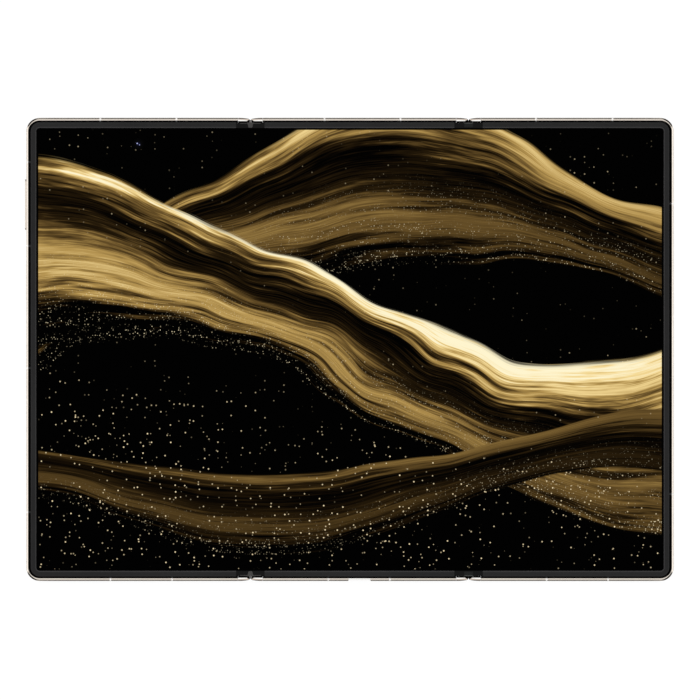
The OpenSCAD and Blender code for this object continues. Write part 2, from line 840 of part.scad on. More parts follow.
module usb_c_shell() {
  color(steel_colour) difference() {
    usb_bar(usb_w + 2 * usb_wall, usb_h + 2 * usb_wall, 0.4, usb_depth + 0.6);
    usb_bar(usb_w, usb_h, 0, usb_depth + 0.2);
  }
}

module usb_c_tongue() {
  color([0.08, 0.08, 0.08]) translate([middle_x, 0, usb_z])
    block([-tongue_w / 2, -half_h + 1.8, -tongue_t / 2],
          [tongue_w / 2, -half_h + usb_depth + 0.2, tongue_t / 2]);
}

module usb_board() {
  color(board_colour)
    block([middle_x - usb_board_w / 2, -half_h + usb_depth + 1.1, thin_cover_z + slack],
          [middle_x + usb_board_w / 2, -half_h + usb_board_in, thin_cover_z + 1.2]);
}

module vibration_motor() {
  motor_end_x = right_fold_x - wing_reach - 4.5;
  color(steel_colour)
    block([motor_end_x - motor_size[0], half_h - motor_in - motor_size[1], thin_cover_z + slack],
          [motor_end_x, half_h - motor_in, plate_low_z - slack]);
}

// ---- Right hinge ----

module right_hinge_spine() {
  color(steel_colour) difference() {
    spine_bar(right_fold_x, right_axes, right_axis_z, right_spine_r, -right_spine_r, right_spine_top,
              -spine_h / 2 + cap_len, spine_h / 2 - cap_len);
    for (side = [-1, 1], y = arm_places)
      beside(right_fold_x, side)
        block([right_axes / 2 - right_eye_r - fit, y - arm_w / 2 - slack, 0],
              [right_axes + 2, y + arm_w / 2 + slack, bezel_top_z]);
    for (s = [-1, 1])
      translate([right_fold_x + s * right_axes / 2, 0, right_axis_z])
        bar_y(right_pin_r, -half_h, half_h);
  }
}

module right_hinge_pins() {
  hinge_pins(right_fold_x, right_axes, right_axis_z, right_pin_r);
}

module right_hinge_end_caps() {
  color([0.16, 0.20, 0.20]) difference() {
    top_and_bottom()
      spine_bar(right_fold_x, right_axes, right_axis_z, right_spine_r, -right_spine_r,
                right_spine_top, spine_h / 2 - cap_len, spine_h / 2);
    for (s = [-1, 1])
      translate([right_fold_x + s * right_axes / 2, 0, right_axis_z])
        bar_y(right_pin_r, -half_h, half_h);
  }
}

module right_display_bend() {
  display_section(right_fold_x - right_bend, right_fold_x + right_bend);
}

// ---- Right panel ----

// Profile cut away under the right panel, clear of the folded left panel's far edge
module relief_profile(back_z, cover_z, run) {
  polygon([[-2, -2], [-2, back_z], [relief_flat + run, back_z],
           [relief_flat + relief_run + run, cover_z], [relief_flat + relief_run + run, -2]]);
}

// That profile as a cut through the rails, deeper between them for the cover
module back_relief() {
  translate([right_fold_x, big / 2, 0]) rotate([90, 0, 0]) linear_extrude(big)
    relief_profile(thin_back_z, thick_back_z, 0);
  translate([right_fold_x, half_h - rail_w, 0]) rotate([90, 0, 0])
    linear_extrude(body_h - 2 * rail_w)
      relief_profile(thin_cover_z, thick_cover_z, relief_shift);
}

module right_frame() {
  color(rail_colour) difference() {
    union() {
      to_right_edge() rail_bend(thick_back_z, 2 * centre_x - right_fold_x);
      mid_plate(right_fold_x + right_plate_in, right_edge_x);
    }
    edge_break_cuts(thick_back_z);
    to_right_edge() side_break_cuts(thick_back_z, right_breaks);
    knuckle_room(right_fold_x, 1);
    back_relief();
    for (x = speaker_holes)
      translate([x, -half_h - 1, rail_mid_z]) rotate([-90, 0, 0])
        cylinder(r = speaker_hole_r, h = wall_w + 1.3);
    beside(right_fold_x, 1) wing_screws_at(0.03);
  }
}

module right_back_cover() {
  color(cover_colour) difference() {
    intersection() {
      linear_extrude(bezel_top_z) plan(rail_w + fit, right_fold_x + slack, right_edge_x);
      translate([right_fold_x, big / 2, 0]) rotate([90, 0, 0]) linear_extrude(big)
        polygon([[0, thin_back_z], [relief_flat, thin_back_z],
                 [relief_flat + relief_run, thick_back_z], [right_w, thick_back_z],
                 [right_w, thick_cover_z], [relief_end, thick_cover_z],
                 [relief_flat + relief_shift, thin_cover_z], [0, thin_cover_z]]);
    }
    knuckle_room(right_fold_x, 1);
    translate([island_x, island_y, 0]) cylinder(r = island_r - ring_seat, h = thick_cover_z + 1);
    translate([mic_x, island_y, 0]) cylinder(r = 0.5, h = thick_cover_z + 1);
  }
}

module right_bezel() {
  bezel_strip(right_fold_x + bezel_stop, right_edge_x);
}

module right_display() {
  display_section(right_fold_x + right_bend, right_edge_x);
}

module right_battery() {
  cell([right_fold_x + bay_start, right_cell_in - half_h, thick_cover_z + slack],
       [right_edge_x - edge_room, board_low_y - board_gap, plate_low_z - slack]);
}

module right_antenna_breaks() {
  color(break_colour) {
    break_strips(thick_back_z, right_fold_x, right_edge_x);
    to_right_edge() for (y = right_breaks)
      rail_up_left(thick_back_z, y - break_w / 2, y + break_w / 2);
  }
}

module right_hinge_panel_wing() {
  beside(right_fold_x, 1) right_wing_shape();
}

module right_wing_screws() {
  color(steel_colour) beside(right_fold_x, 1) wing_screws_at(0);
}

module main_board() {
  low = plate_low_z - can_drop;
  color(board_colour) difference() {
    block([right_fold_x + bay_start, board_low_y, low],
          [right_edge_x - edge_room, half_h - 4, low + 0.8]);
    translate([island_x, island_y, 0]) cylinder(r = island_r - ring_seat + 0.5, h = bezel_top_z);
  }
}

module shield_cans() {
  top = plate_low_z - can_drop;
  low = thick_cover_z + 0.3;
  inner = right_fold_x + bay_start + 2;
  outer = island_x + 2;
  y0 = board_low_y + 4;
  y1 = y0 + can_size[1];
  color(steel_colour)
    for (span = [[inner, min(inner + can_size[0], outer - 1)], [outer, outer + can_size[0]]])
      difference() {
        block([span[0], y0, low], [span[1], y1, top]);
        block([span[0] + can_wall, y0 + can_wall, low + can_wall],
              [span[1] - can_wall, y1 - can_wall, top + 1]);
      }
}

module loudspeakers() {
  color([0.15, 0.15, 0.16]) {
    block([island_x + 2, -half_h + wall_w + 0.2, thick_cover_z + slack],
          [island_x + 24, -half_h + speaker_in, plate_low_z - slack]);
    block([max(island_x - 22, right_fold_x + bay_start), -half_h + wall_w + 0.2, thick_cover_z + slack],
          [island_x - 2, -half_h + speaker_in, plate_low_z - slack]);
  }
}

module rear_microphone() {
  color(gold_colour) translate([mic_x, island_y, thick_cover_z + 0.05]) difference() {
    block([-1.4, -1.8, 0], [1.4, 1.8, 1.1]);
    translate([0, 0, -1]) cylinder(r = 0.4, h = 1.6);
  }
}

// ---- Rear camera island ----

module camera_island_ring() {
  seat = island_r - ring_seat;
  color(gold_colour) translate([island_x, island_y, 0]) rotate_extrude($fn = 128) {
    difference() {
      translate([seat, 0]) square([ring_seat, thick_back_z]);
      translate([seat - 1, -1]) square([1 + ring_seat - ring_w, 1 + glass_z + glass_t]);
      translate([island_r - 0.6, -1]) square([1, 1.6]);
    }
    translate([island_r - 0.6, 0.6]) circle(0.6);
  }
}

module camera_glass() {
  color([0.06, 0.06, 0.07, 0.5]) translate([island_x, island_y, glass_z])
    cylinder(r = island_r - ring_w - fit, h = glass_t, $fn = 128);
}

// Camera module: a barrel towards the back and a square body
module camera_unit(place, r, body) {
  top = plate_low_z - slack;
  color([0.05, 0.05, 0.06]) translate([island_x + place[0], island_y + place[1], 0])
    difference() {
      union() {
        translate([0, 0, glass_z + glass_t + slack]) cylinder(r = r, h = 3.2);
        block([-body / 2, -body / 2, glass_z + glass_t + 3], [body / 2, body / 2, top]);
      }
      cylinder(r = r - 1.2, h = glass_z + glass_t + slack + 0.8);
    }
}

module main_camera() {
  camera_unit([-6.0, 5.0], 5.2, 9.8);
}

module wide_camera() {
  camera_unit([6.4, 5.0], 4.4, 8.4);
}

module periscope_camera() {
  color([0.05, 0.05, 0.06]) translate([island_x, island_y - 8, 0]) difference() {
    block([-6.5, -4.2, glass_z + glass_t + slack], [6.5, 3.4, plate_low_z - slack]);
    block([-5, -3, 0], [1, 2.4, glass_z + glass_t + slack + 1]);
  }
}

module flash_led() {
  color([0.95, 0.9, 0.7]) translate([island_x + 10.6, island_y - 3.4, glass_z + glass_t + slack])
    cylinder(r = 1.7, h = 2.4);
}

left_frame();
left_back_cover();
left_bezel();
left_display();
left_battery();
left_antenna_breaks();
left_hinge_panel_wing();
left_wing_screws();
front_camera();
earpiece();
key_switch_board();
sim_tray_cage();
volume_rocker();
power_key();
sim_tray();
left_hinge_spine();
left_hinge_pins();
left_hinge_end_caps();
left_display_bend();
middle_frame();
middle_back_cover();
middle_bezel();
middle_display();
middle_battery();
middle_antenna_breaks();
left_hinge_middle_wing();
right_hinge_middle_wing();
middle_wing_screws();
usb_c_shell();
usb_c_tongue();
usb_board();
vibration_motor();
right_hinge_spine();
right_hinge_pins();
right_hinge_end_caps();
right_display_bend();
right_frame();
right_back_cover();
right_bezel();
right_display();
right_battery();
right_antenna_breaks();
right_hinge_panel_wing();
right_wing_screws();
main_board();
shield_cans();
loudspeakers();
rear_microphone();
camera_island_ring();
camera_glass();
main_camera();
wide_camera();
periscope_camera();
flash_led();
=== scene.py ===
"""Looks of an unfolded three-panel smartphone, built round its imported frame.

The frame gives every size and place. Each sub-assembly is a class that builds its meshes and dresses
them, and each finish is a frozen dataclass that makes its own node material.
"""

import json
import logging
import math
from dataclasses import dataclass
from enum import Enum
from typing import Any, Iterable, Optional, Sequence

import bmesh
import bpy
from mathutils import Matrix, Vector

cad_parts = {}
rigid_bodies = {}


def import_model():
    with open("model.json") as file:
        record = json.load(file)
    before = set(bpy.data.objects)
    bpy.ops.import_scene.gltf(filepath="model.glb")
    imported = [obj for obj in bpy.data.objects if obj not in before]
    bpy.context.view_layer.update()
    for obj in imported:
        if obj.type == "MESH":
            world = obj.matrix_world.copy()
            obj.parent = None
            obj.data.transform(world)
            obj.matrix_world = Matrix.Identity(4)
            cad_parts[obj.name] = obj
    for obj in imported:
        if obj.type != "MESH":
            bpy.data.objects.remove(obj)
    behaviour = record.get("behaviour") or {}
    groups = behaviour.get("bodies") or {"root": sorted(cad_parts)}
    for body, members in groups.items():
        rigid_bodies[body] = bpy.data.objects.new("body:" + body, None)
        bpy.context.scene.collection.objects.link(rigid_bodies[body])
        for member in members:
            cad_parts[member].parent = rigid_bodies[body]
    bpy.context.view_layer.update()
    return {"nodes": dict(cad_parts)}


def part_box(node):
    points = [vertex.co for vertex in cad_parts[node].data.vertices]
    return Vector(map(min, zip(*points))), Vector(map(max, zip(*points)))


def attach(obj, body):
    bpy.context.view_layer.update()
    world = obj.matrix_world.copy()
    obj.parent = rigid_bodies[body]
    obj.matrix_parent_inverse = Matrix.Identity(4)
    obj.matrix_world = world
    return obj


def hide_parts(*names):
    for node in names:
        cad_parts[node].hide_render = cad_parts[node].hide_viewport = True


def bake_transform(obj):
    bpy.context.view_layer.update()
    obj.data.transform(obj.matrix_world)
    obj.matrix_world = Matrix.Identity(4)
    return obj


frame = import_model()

LOG = logging.getLogger("phone")
MM = 0.001
Colour = tuple[float, float, float]
Pairs = tuple[tuple[float, float], ...]
Material = bpy.types.Material
Socket = bpy.types.NodeSocket


def middle(node: str) -> Vector:
    """The middle of a frame node's box."""
    low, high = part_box(node)
    return (low + high) / 2


# ---- shader maths


class Value:
    """A number that changes over a surface, written as a Python expression."""

    def __init__(self, shader: "Graph", socket: Socket) -> None:
        """Wraps the output of a node."""
        self.shader, self.socket = shader, socket

    def _math(self, operation: str, *others: Any) -> "Value":
        """Adds a Math node on this value and others."""
        return self.shader.math(operation, self, *others)

    def __add__(self, other: Any) -> "Value":
        """Sum."""
        return self._math("ADD", other)

    __radd__ = __add__

    def __sub__(self, other: Any) -> "Value":
        """Difference."""
        return self._math("SUBTRACT", other)

    def __rsub__(self, other: Any) -> "Value":
        """Difference, this value taken away."""
        return self.shader.math("SUBTRACT", other, self)

    def __mul__(self, other: Any) -> "Value":
        """Product."""
        return self._math("MULTIPLY", other)

    __rmul__ = __mul__

    def __truediv__(self, other: Any) -> "Value":
        """Quotient."""
        return self._math("DIVIDE", other)

    def __pow__(self, other: Any) -> "Value":
        """Power."""
        return self._math("POWER", other)

    def absolute(self) -> "Value":
        """Size without the sign."""
        return self._math("ABSOLUTE")

    def sine(self) -> "Value":
        """Sine of the value in radians."""
        return self._math("SINE")

    def least(self, other: Any) -> "Value":
        """Smaller of the two."""
        return self._math("MINIMUM", other)

    def most(self, other: Any) -> "Value":
        """Larger of the two."""
        return self._math("MAXIMUM", other)

    def distance(self, other: "Value") -> "Value":
        """Length of the way that goes this far across and the other up."""
        return (self * self + other * other) ** 0.5

    def ramp(self, low: float, high: float, to_low: float = 0.0, to_high: float = 1.0) -> "Value":
        """Smooth step between two levels.

        Args:
            low: The level that gives to_low.
            high: The level that gives to_high.
            to_low: The result below low.
            to_high: The result above high.

        Returns:
            The stepped value.
        """
        inputs = {0: self, 1: low, 2: high, 3: to_low, 4: to_high}
        return Value(self.shader, self.shader.out("MapRange", inputs, interpolation_type="SMOOTHSTEP"))


class Graph:
    """A node tree that is written in expressions."""

    def __init__(self, owner: Any) -> None:
        """Empties the tree of a material or a world.

        Args:
            owner: The material or world.
        """
        owner.use_nodes = True
        self.tree = owner.node_tree
        self.tree.nodes.clear()

    def node(self, kind: str, inputs: Optional[dict] = None, **settings: Any) -> bpy.types.Node:
        """Adds a node.

        Args:
            kind: The node's type, such as Math.
            inputs: Values, sockets or constants by input name or index.
            settings: Properties or a colour ramp's stops, which are set before the inputs.

        Returns:
            The new node.
        """
        node = self.tree.nodes.new(f"ShaderNode{kind}")
        for index, (place, colour) in enumerate(settings.pop("stops", ())):
            stops = node.color_ramp.elements
            stop = stops[index] if index < 2 else stops.new(place)
            stop.position, stop.color = place, (*colour, 1.0)
        for key, value in settings.items():
            setattr(node, key, value)
        for key, value in (inputs or {}).items():
            self.feed(node.inputs[key], value)
        return node

    def out(self, kind: str, inputs: Optional[dict] = None, **settings: Any) -> Socket:
        """Adds a node and gives its first output."""
        return self.node(kind, inputs, **settings).outputs[0]

    def feed(self, socket: Socket, value: Any) -> None:
        """Links or sets one input.

        Args:
            socket: The input.
            value: A Value, a socket or a constant.
        """
        if isinstance(value, Value):
            value = value.socket
        if isinstance(value, Socket):
            self.tree.links.new(value, socket)
        elif socket.type == "RGBA":
            socket.default_value = (*value, 1.0)
        else:
            socket.default_value = value

    def math(self, operation: str, *operands: Any) -> Value:
        """Adds a Math node."""
        return Value(self, self.out("Math", dict(enumerate(operands)), operation=operation))

    def coordinates(self) -> Socket:
        """Object coordinates."""
        return self.node("TexCoord").outputs["Object"]

    def parts(self, vector: Socket) -> tuple[Value, Value, Value]:
        """The three numbers of a vector."""
        return tuple(Value(self, out) for out in self.node("SeparateXYZ", {0: vector}).outputs)

    def vector(self, x: Any, y: Any, z: Any = 0.0) -> Socket:
        """A vector from three numbers."""
        return self.out("CombineXYZ", {0: x, 1: y, 2: z})

    def noise(self, vector: Socket, scale: float, detail: float = 3.0, rough: float = 0.5) -> Value:
        """Smooth noise from 0 to 1."""
        inputs = {"Vector": vector, "Scale": scale, "Detail": detail, "Roughness": rough}
        return Value(self, self.out("TexNoise", inputs))

    def cells(self, vector: Socket, scale: float, feature: str = "F1") -> bpy.types.Node:
        """A node of scattered cells."""
        return self.node("TexVoronoi", {"Vector": vector, "Scale": scale}, feature=feature)

    def stretched(self, vector: Socket, factors: Sequence[float]) -> Socket:
        """The vector scaled differently along its axes."""
        return self.out("Mapping", {"Vector": vector, "Scale": tuple(factors)})

    def mix(self, mask: Any, first: Any, second: Any) -> Socket:
        """The first colour where the mask is 0, and the second where it is 1."""
        return self.node("Mix", {0: mask, 6: first, 7: second}, data_type="RGBA").outputs[2]

    def seen_directly(self, seen: Socket, otherwise: Socket) -> Socket:
        """One shader for what the camera sees itself and another for every other ray."""
        rays = self.node("LightPath").outputs["Is Camera Ray"]
        return self.out("MixShader", {0: rays, 1: otherwise, 2: seen})


class Shader(Graph):
    """A material's node tree with a Principled surface."""

    def __init__(self, name: str) -> None:
        """Starts an empty material.

        Args:
            name: The material's name.
        """
        self.material = bpy.data.materials.new(name)
        super().__init__(self.material)
        self.surface = self.node("BsdfPrincipled")
        self.node("OutputMaterial", {0: self.surface.outputs[0]})

    def surface_set(self, **values: Any) -> None:
        """Sets inputs of the surface, by name with underscores for spaces."""
        for key, value in values.items():
            self.feed(self.surface.inputs[key.replace("_", " ")], value)

    def bump(self, height: Value, depth: float, strength: float) -> None:
        """Raises the surface by a height from 0 to 1, where 1 is a depth in metres."""
        inputs = {"Strength": strength, "Distance": depth, "Height": height}
        self.surface_set(Normal=self.out("Bump", inputs))


# ---- finishes

BODY_ROUND = 4.6 * MM
SIDE_RAIL = 0.64  # mm, beside the rocker and opposite it
END_RAIL = 0.9  # mm, along the ends with the hinges
RAIL_CHANGE = 4.0 * MM
# Black coat; on the rail's step it also paints the shade in the gap between rail and strip.
COAT_AND_GAP_SHADE: Colour = (0.0008, 0.0008, 0.0008)
DARK: Colour = (0.0, 0.0, 0.0)
WHITE: Colour = (1.0, 1.0, 1.0)


def body_inset(shader: Shader, place: Socket) -> tuple[Value, Value]:
    """How far in from the body's outline a place lies.

    Args:
        shader: The material.
        place: Object coordinates.

    Returns:
        The inset in mm, and a mask that is 1 beside a long side and 0 beside an end.
    """
    low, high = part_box("left_frame")[0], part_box("right_frame")[1]
    x, y, _ = shader.parts(place)
    across = (x - (low.x + high.x) / 2).absolute() - ((high.x - low.x) / 2 - BODY_ROUND)
    up = y.absolute() - (high.y - BODY_ROUND)
    reach = across.most(0.0).distance(up.most(0.0)) + across.most(up).least(0.0)
    return (BODY_ROUND - reach) * 1000.0, (across - up).ramp(-RAIL_CHANGE, RAIL_CHANGE)


def rail_coat_and_gap_shade(shader: Shader, place: Socket) -> Value:
    """Mask of the black coat on the step inside the rail, where the soft strip sits; the coat also paints the
    shade in the gap between rail and strip.
    """
    inset, on_side = body_inset(shader, place)
    return (inset - (on_side * (SIDE_RAIL - END_RAIL) + END_RAIL)).ramp(0.0, 0.05)


@dataclass(frozen=True)
class Coating:
    """What every finish is: a named material, which its own class dresses."""

    name: str

    def material(self) -> Material:
        """Gives the material, made once.

        Returns:
            The material.
        """
        made = bpy.data.materials.get(self.name)
        if not made:
            shader = Shader(self.name)
            self.dress(shader)
            made = shader.material
        return made

    def dress(self, shader: Shader) -> None:
        """Sets the surface of a new shader."""


Painted = tuple[Socket, Optional[Value]]


@dataclass(frozen=True)
class PolishedMetal(Coating):
    """Polished metal with fine brush lines, small stains and rubbed places."""

    colour: Colour
    shade: Colour
    roughness: float = 0.16
    lines: tuple[float, float, float] = (300.0, 300.0, 9000.0)
    gloss: float = 0.03

    def dress(self, shader: Shader) -> None:
        """Brushes and stains the metal, and paints what is painted."""
        place = shader.coordinates()
        grain = shader.noise(shader.stretched(place, self.lines), 1.0, 2.0)
        cloud = shader.noise(place, 60.0, 4.0, 0.6)
        rough = grain * 0.05 + cloud * 0.05 + (self.roughness - 0.05)
        metal = shader.mix(cloud.ramp(0.35, 0.7), self.colour, self.shade)
        colour, painted = self.paint(shader, place, metal)
        shader.surface_set(
            Base_Color=colour,
            Roughness=rough if painted is None else rough + painted * 0.35,
            Metallic=1.0 if painted is None else 1.0 - painted,
            Specular_IOR_Level=self.gloss,
        )
        shader.bump(grain, 0.000003, 0.1)

    def paint(self, shader: Shader, place: Socket, metal: Socket) -> Painted:
        """The colour, and a mask of the paint; plain metal has none."""
        return metal, None


@dataclass(frozen=True)
class RailMetal(PolishedMetal):
    """Polished rail with a black-coated step on its inner side, whose coat also paints the gap's shade, and a
    painted highlight on the socket's scoop.
    """

    scoop_highlight: Colour = (0.97, 0.955, 0.92)
    scoop_half: float = 3.85 * MM
    scoop_depth: float = 4.0 * MM

    def paint(self, shader: Shader, place: Socket, metal: Socket) -> Painted:
        """Paints a highlight on the scoop, and coats black what lies further in than the rail, which also paints
        the gap's shade.
        """
        coat = rail_coat_and_gap_shade(shader, place)
        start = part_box("usb_c_shell")[0].y + self.scoop_depth
        x, y, _ = shader.parts(place)
        # Painted highlight: the rail is brighter round the socket's scoop.
        near = (x - middle("usb_c_shell").x).absolute().ramp(self.scoop_half, self.scoop_half - 0.35 * MM)
        metal = shader.mix(near * y.ramp(start, start - MM), metal, self.scoop_highlight)
        return shader.mix(coat, metal, COAT_AND_GAP_SHADE), coat


@dataclass(frozen=True)
class ShellMetal(PolishedMetal):
    """Drawn steel shell whose outer top is coated black like the rail's step, a coat that also paints the gap's
    shade.
    """

    def paint(self, shader: Shader, place: Socket, metal: Socket) -> Painted:
        """Coats the shell's top black, which also paints the gap's shade."""
        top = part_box("usb_c_shell")[1].z
        _, _, z = shader.parts(place)
        # The black coat on the shell's top also paints the shade of the gap.
        coat = z.ramp(top - 0.5 * MM, top - 0.35 * MM) * rail_coat_and_gap_shade(shader, place)
        return shader.mix(coat, metal, COAT_AND_GAP_SHADE), coat


@dataclass(frozen=True)
class KnuckleMetal(PolishedMetal):
    """Bright knuckle with painted shade along its outer edge, which follows its curve, and painted shade over its
    inner part and beside the fold.

    The depths edge, bright and end are in mm from the phone's end, and the slant is in mm per mm.
    """

    reach: float = 4.0 * MM
    sweep_in: float = 0.4 * MM
    notch: float = 0.3 * MM
    corner: tuple[float, float, float] = (0.8 * MM, 1.01 * MM, 0.7 * MM)
    edge: float = 0.76
    bright: float = 1.13
    end: float = 2.5
    slant: float = 0.65
    satin: Colour = (0.66, 0.575, 0.5)
    painted_inner_shade: Colour = (0.0015, 0.0012, 0.001)

    def paint(self, shader: Shader, place: Socket, metal: Socket) -> Painted:
        """Paints shade on the outer edge, over the inner part and beside the fold."""
        x, y, _ = shader.parts(place)
        y = y.absolute()
        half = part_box("left_frame")[1].y
        from_left, from_right = ((x - middle(f"{side}_display_bend").x).absolute() for side in ("left", "right"))
        u = from_left.least(from_right)
        # Painted shade along the outer edge: an arc that sweeps in towards the fold, and a small round at its
        # corner.
        run = self.reach - self.notch
        radius = (run * run + self.sweep_in * self.sweep_in) / (2.0 * self.sweep_in)
        past = (self.reach - u).most(0.0)
        contour = (radius * radius - past * past) ** 0.5 + (half - radius)
        corner_u, corner_in, corner_r = self.corner
        off = (corner_u - u).most(0.0).distance((y - (half - corner_in)).most(0.0))
        depth = (contour - y).least((u - corner_u).most(0.0) * 50.0 - off + corner_r) * 1000.0
        edge_shaded = shader.mix(depth.ramp(self.edge, self.edge - 0.12), metal, self.satin)
        # Painted shade: all that lies further in, and a slanted stroke beside the fold.
        inner = (half - y) * 1000.0
        stroke = (inner - u * (self.slant * 1000.0) - 0.3).ramp(0.0, 0.12)
        coat = inner.ramp(self.bright - 0.03, self.bright + 0.03).most(stroke)
        coat = coat * inner.ramp(self.end + 0.1, self.end)
        return shader.mix(coat, edge_shaded, self.painted_inner_shade), coat


@dataclass(frozen=True)
class MouldedPlastic(Coating):
    """Moulded plastic or soft rubber with a fine spark-eroded texture."""

    colour: Colour
    shade: Colour
    roughness: float = 0.5
    grain: float = 2600.0
    depth: float = 0.00001
    gloss: float = 0.5

    def dress(self, shader: Shader) -> None:
        """Mottles and roughens the plastic."""
        place = shader.coordinates()
        fine = shader.noise(place, self.grain, 2.0)
        plain = shader.mix(shader.noise(place, 45.0, 3.0).ramp(0.3, 0.7), self.colour, self.shade)
        shader.surface_set(
            Base_Color=self.tone(shader, place, plain),
            Roughness=fine * 0.16 + (self.roughness - 0.08),
            Specular_IOR_Level=self.gloss,
        )
        shader.bump(fine, self.depth, 0.5)

    def tone(self, shader: Shader, place: Socket, plain: Socket) -> Socket:
        """The colour over the surface, here left plain."""
        return plain


@dataclass(frozen=True)
class BreakPlastic(MouldedPlastic):
    """Light insulating strip of the rail, coated black where the rail is; the coat also paints the gap's shade.
    """

    def tone(self, shader: Shader, place: Socket, plain: Socket) -> Socket:
        """Coats what lies further in than the rail black, which also paints the gap's shade."""
        return shader.mix(rail_coat_and_gap_shade(shader, place), plain, COAT_AND_GAP_SHADE)


@dataclass(frozen=True)
class EdgeLitRubber(MouldedPlastic):
    """Soft strip with a painted highlight along its two edges."""

    edge_highlight: Colour = (0.037, 0.036, 0.037)

    def tone(self, shader: Shader, place: Socket, plain: Socket) -> Socket:
        """Paints a highlight on the edge beside the picture, and a weaker one on the edge beside the rail."""
        inset, _ = body_inset(shader, place)
        # Painted highlight along both edges of the strip.
        return shader.mix(inset.ramp(2.95, 3.3) * 0.85 + inset.ramp(2.0, 1.6) * 0.25, plain, self.edge_highlight)


@dataclass(frozen=True)
class TippedPlastic(MouldedPlastic):
    """End cap whose fin between the knuckles is lighter near the phone's end."""

    tip: Colour = (0.05, 0.04, 0.035)
    tip_depth: float = 1.6 * MM

    def tone(self, shader: Shader, place: Socket, plain: Socket) -> Socket:
        """Lightens the fin near the phone's end."""
        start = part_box("left_frame")[1].y - self.tip_depth
        lighter_end = shader.parts(place)[1].absolute().ramp(start - 0.02 * MM, start + 0.02 * MM)
        return shader.mix(lighter_end, plain, self.tip)


@dataclass(frozen=True)
class GrainedLeather(Coating):
    """Synthetic leather: pebbled cells, painted shade in the creases between them and a worn sheen."""

    colour: Colour
    crease_shading: Colour
    cells: float = 950.0
    wobble: float = 1.6 * MM

    def dress(self, shader: Shader) -> None:
        """Raises the pebbles, paints shade in the creases and wears their tops."""
        place = shader.coordinates()
        warp = shader.noise(place, 240.0, 3.0) * self.wobble
        x, y, z = shader.parts(place)
        edge = shader.cells(shader.vector(x + warp, y + warp, z), self.cells, "DISTANCE_TO_EDGE")
        pebble = Value(shader, edge.outputs[0]).ramp(0.0, 0.22)
        pores = shader.noise(place, 5200.0, 2.0)
        worn = shader.noise(place, 38.0, 4.0, 0.6)
        shader.surface_set(
            # Painted shade: the creases between the pebbles are darker.
            Base_Color=shader.mix(pebble * (0.7 + worn * 0.3), self.crease_shading, self.colour),
            Roughness=0.56 - pebble * 0.1 + pores * 0.08 - worn.ramp(0.5, 0.8) * 0.08,
        )
        shader.bump(pebble * 0.85 + pores * 0.15, 0.00006, 0.7)


@dataclass(frozen=True)
class BlackGlass(Coating):
    """Glass over a black ground, with a thin coating that tints it."""

    colour: Colour = (0.004, 0.004, 0.006)
    tint: Colour = (0.02, 0.03, 0.09)
    roughness: float = 0.05

    def dress(self, shader: Shader) -> None:
        """Tints and smears the glass."""
        place = shader.coordinates()
        shader.surface_set(
            Base_Color=shader.mix(shader.noise(place, 900.0, 2.0).ramp(0.4, 0.62), self.colour, self.tint),
            Roughness=shader.noise(place, 70.0, 4.0, 0.6) * 0.04 + self.roughness,
            Coat_Weight=0.4,
            Coat_Roughness=0.03,
        )


@dataclass(frozen=True)
class CoverGlass(BlackGlass):
    """Black-backed cover glass with clear windows in front of the cameras and the flash.

    Places are in mm from the island's middle: (x, y, radius) and (left, right, bottom, top).
    """

    rounds: tuple[tuple[float, float, float], ...] = ((-6.0, 5.0, 4.1), (6.4, 5.0, 3.3), (10.6, -3.4, 1.7))
    window: tuple[float, float, float, float] = (-5.0, 1.0, -11.0, -5.6)
    soft: float = 0.05

    def dress(self, shader: Shader) -> None:
        """Clears the windows."""
        super().dress(shader)
        island = middle("camera_island_ring")
        x, y, _ = shader.parts(shader.coordinates())
        x, y = (x - island.x) * 1000.0, (y - island.y) * 1000.0
        x0, x1, y0, y1 = self.window
        off_x = (x - (x0 + x1) / 2).absolute() - (x1 - x0) / 2
        off_y = (y - (y0 + y1) / 2).absolute() - (y1 - y0) / 2
        clear = off_x.most(off_y).ramp(self.soft, -self.soft)
        for place_x, place_y, radius in self.rounds:
            off = (x - place_x).distance(y - place_y) - radius
            clear = clear.most(off.ramp(self.soft, -self.soft))
        shader.surface_set(Alpha=1.0 - clear * 0.93)


@dataclass(frozen=True)
class CoatedLens(Coating):
    """Dark front lens with painted light: a painted blue glow in rings stands for its coating's reflection, and
    two painted reflections sit off its middle.

    A painted glint is (x, y, size, light), in mm from the lens's middle.
    """

    node: str
    painted_glints: tuple[tuple[float, float, float, float], ...] = ((-0.36, 0.17, 0.27, 1.0), (0.42, -0.32, 0.25, 0.5))
    painted_glint_colour: Colour = (0.52, 0.56, 0.95)

    def dress(self, shader: Shader) -> None:
        """Paints the glowing rings and the two glints as emitted light."""
        lens = middle(self.node)
        x, y, _ = shader.parts(shader.coordinates())
        x, y = (x - lens.x) * 1000.0, (y - lens.y) * 1000.0
        far = x.distance(y)
        rings = (far * 9.0).sine() * 0.5 + 0.5
        # Painted light: a blue glow in rings, emitted and tinted into the base colour, stands for the coating's
        # reflection.
        painted_halo = far.ramp(0.9, 0.1) * (rings * 0.3 + 0.7)
        glow = shader.mix(painted_halo, DARK, (0.004, 0.005, 0.022))
        # Painted reflections: two glints, emitted off the lens's middle.
        for place_x, place_y, size, light in self.painted_glints:
            near = (x - place_x).distance(y - place_y).ramp(size, size * 0.45) * light
            glow = shader.mix(near, glow, self.painted_glint_colour)
        shader.surface_set(
            Base_Color=shader.mix(painted_halo, (0.0004, 0.0004, 0.0006), (0.002, 0.003, 0.015)),
            Roughness=rings * 0.03 + 0.05,
            Specular_IOR_Level=0.02,
            Emission_Color=glow,
            Emission_Strength=1.0,
        )


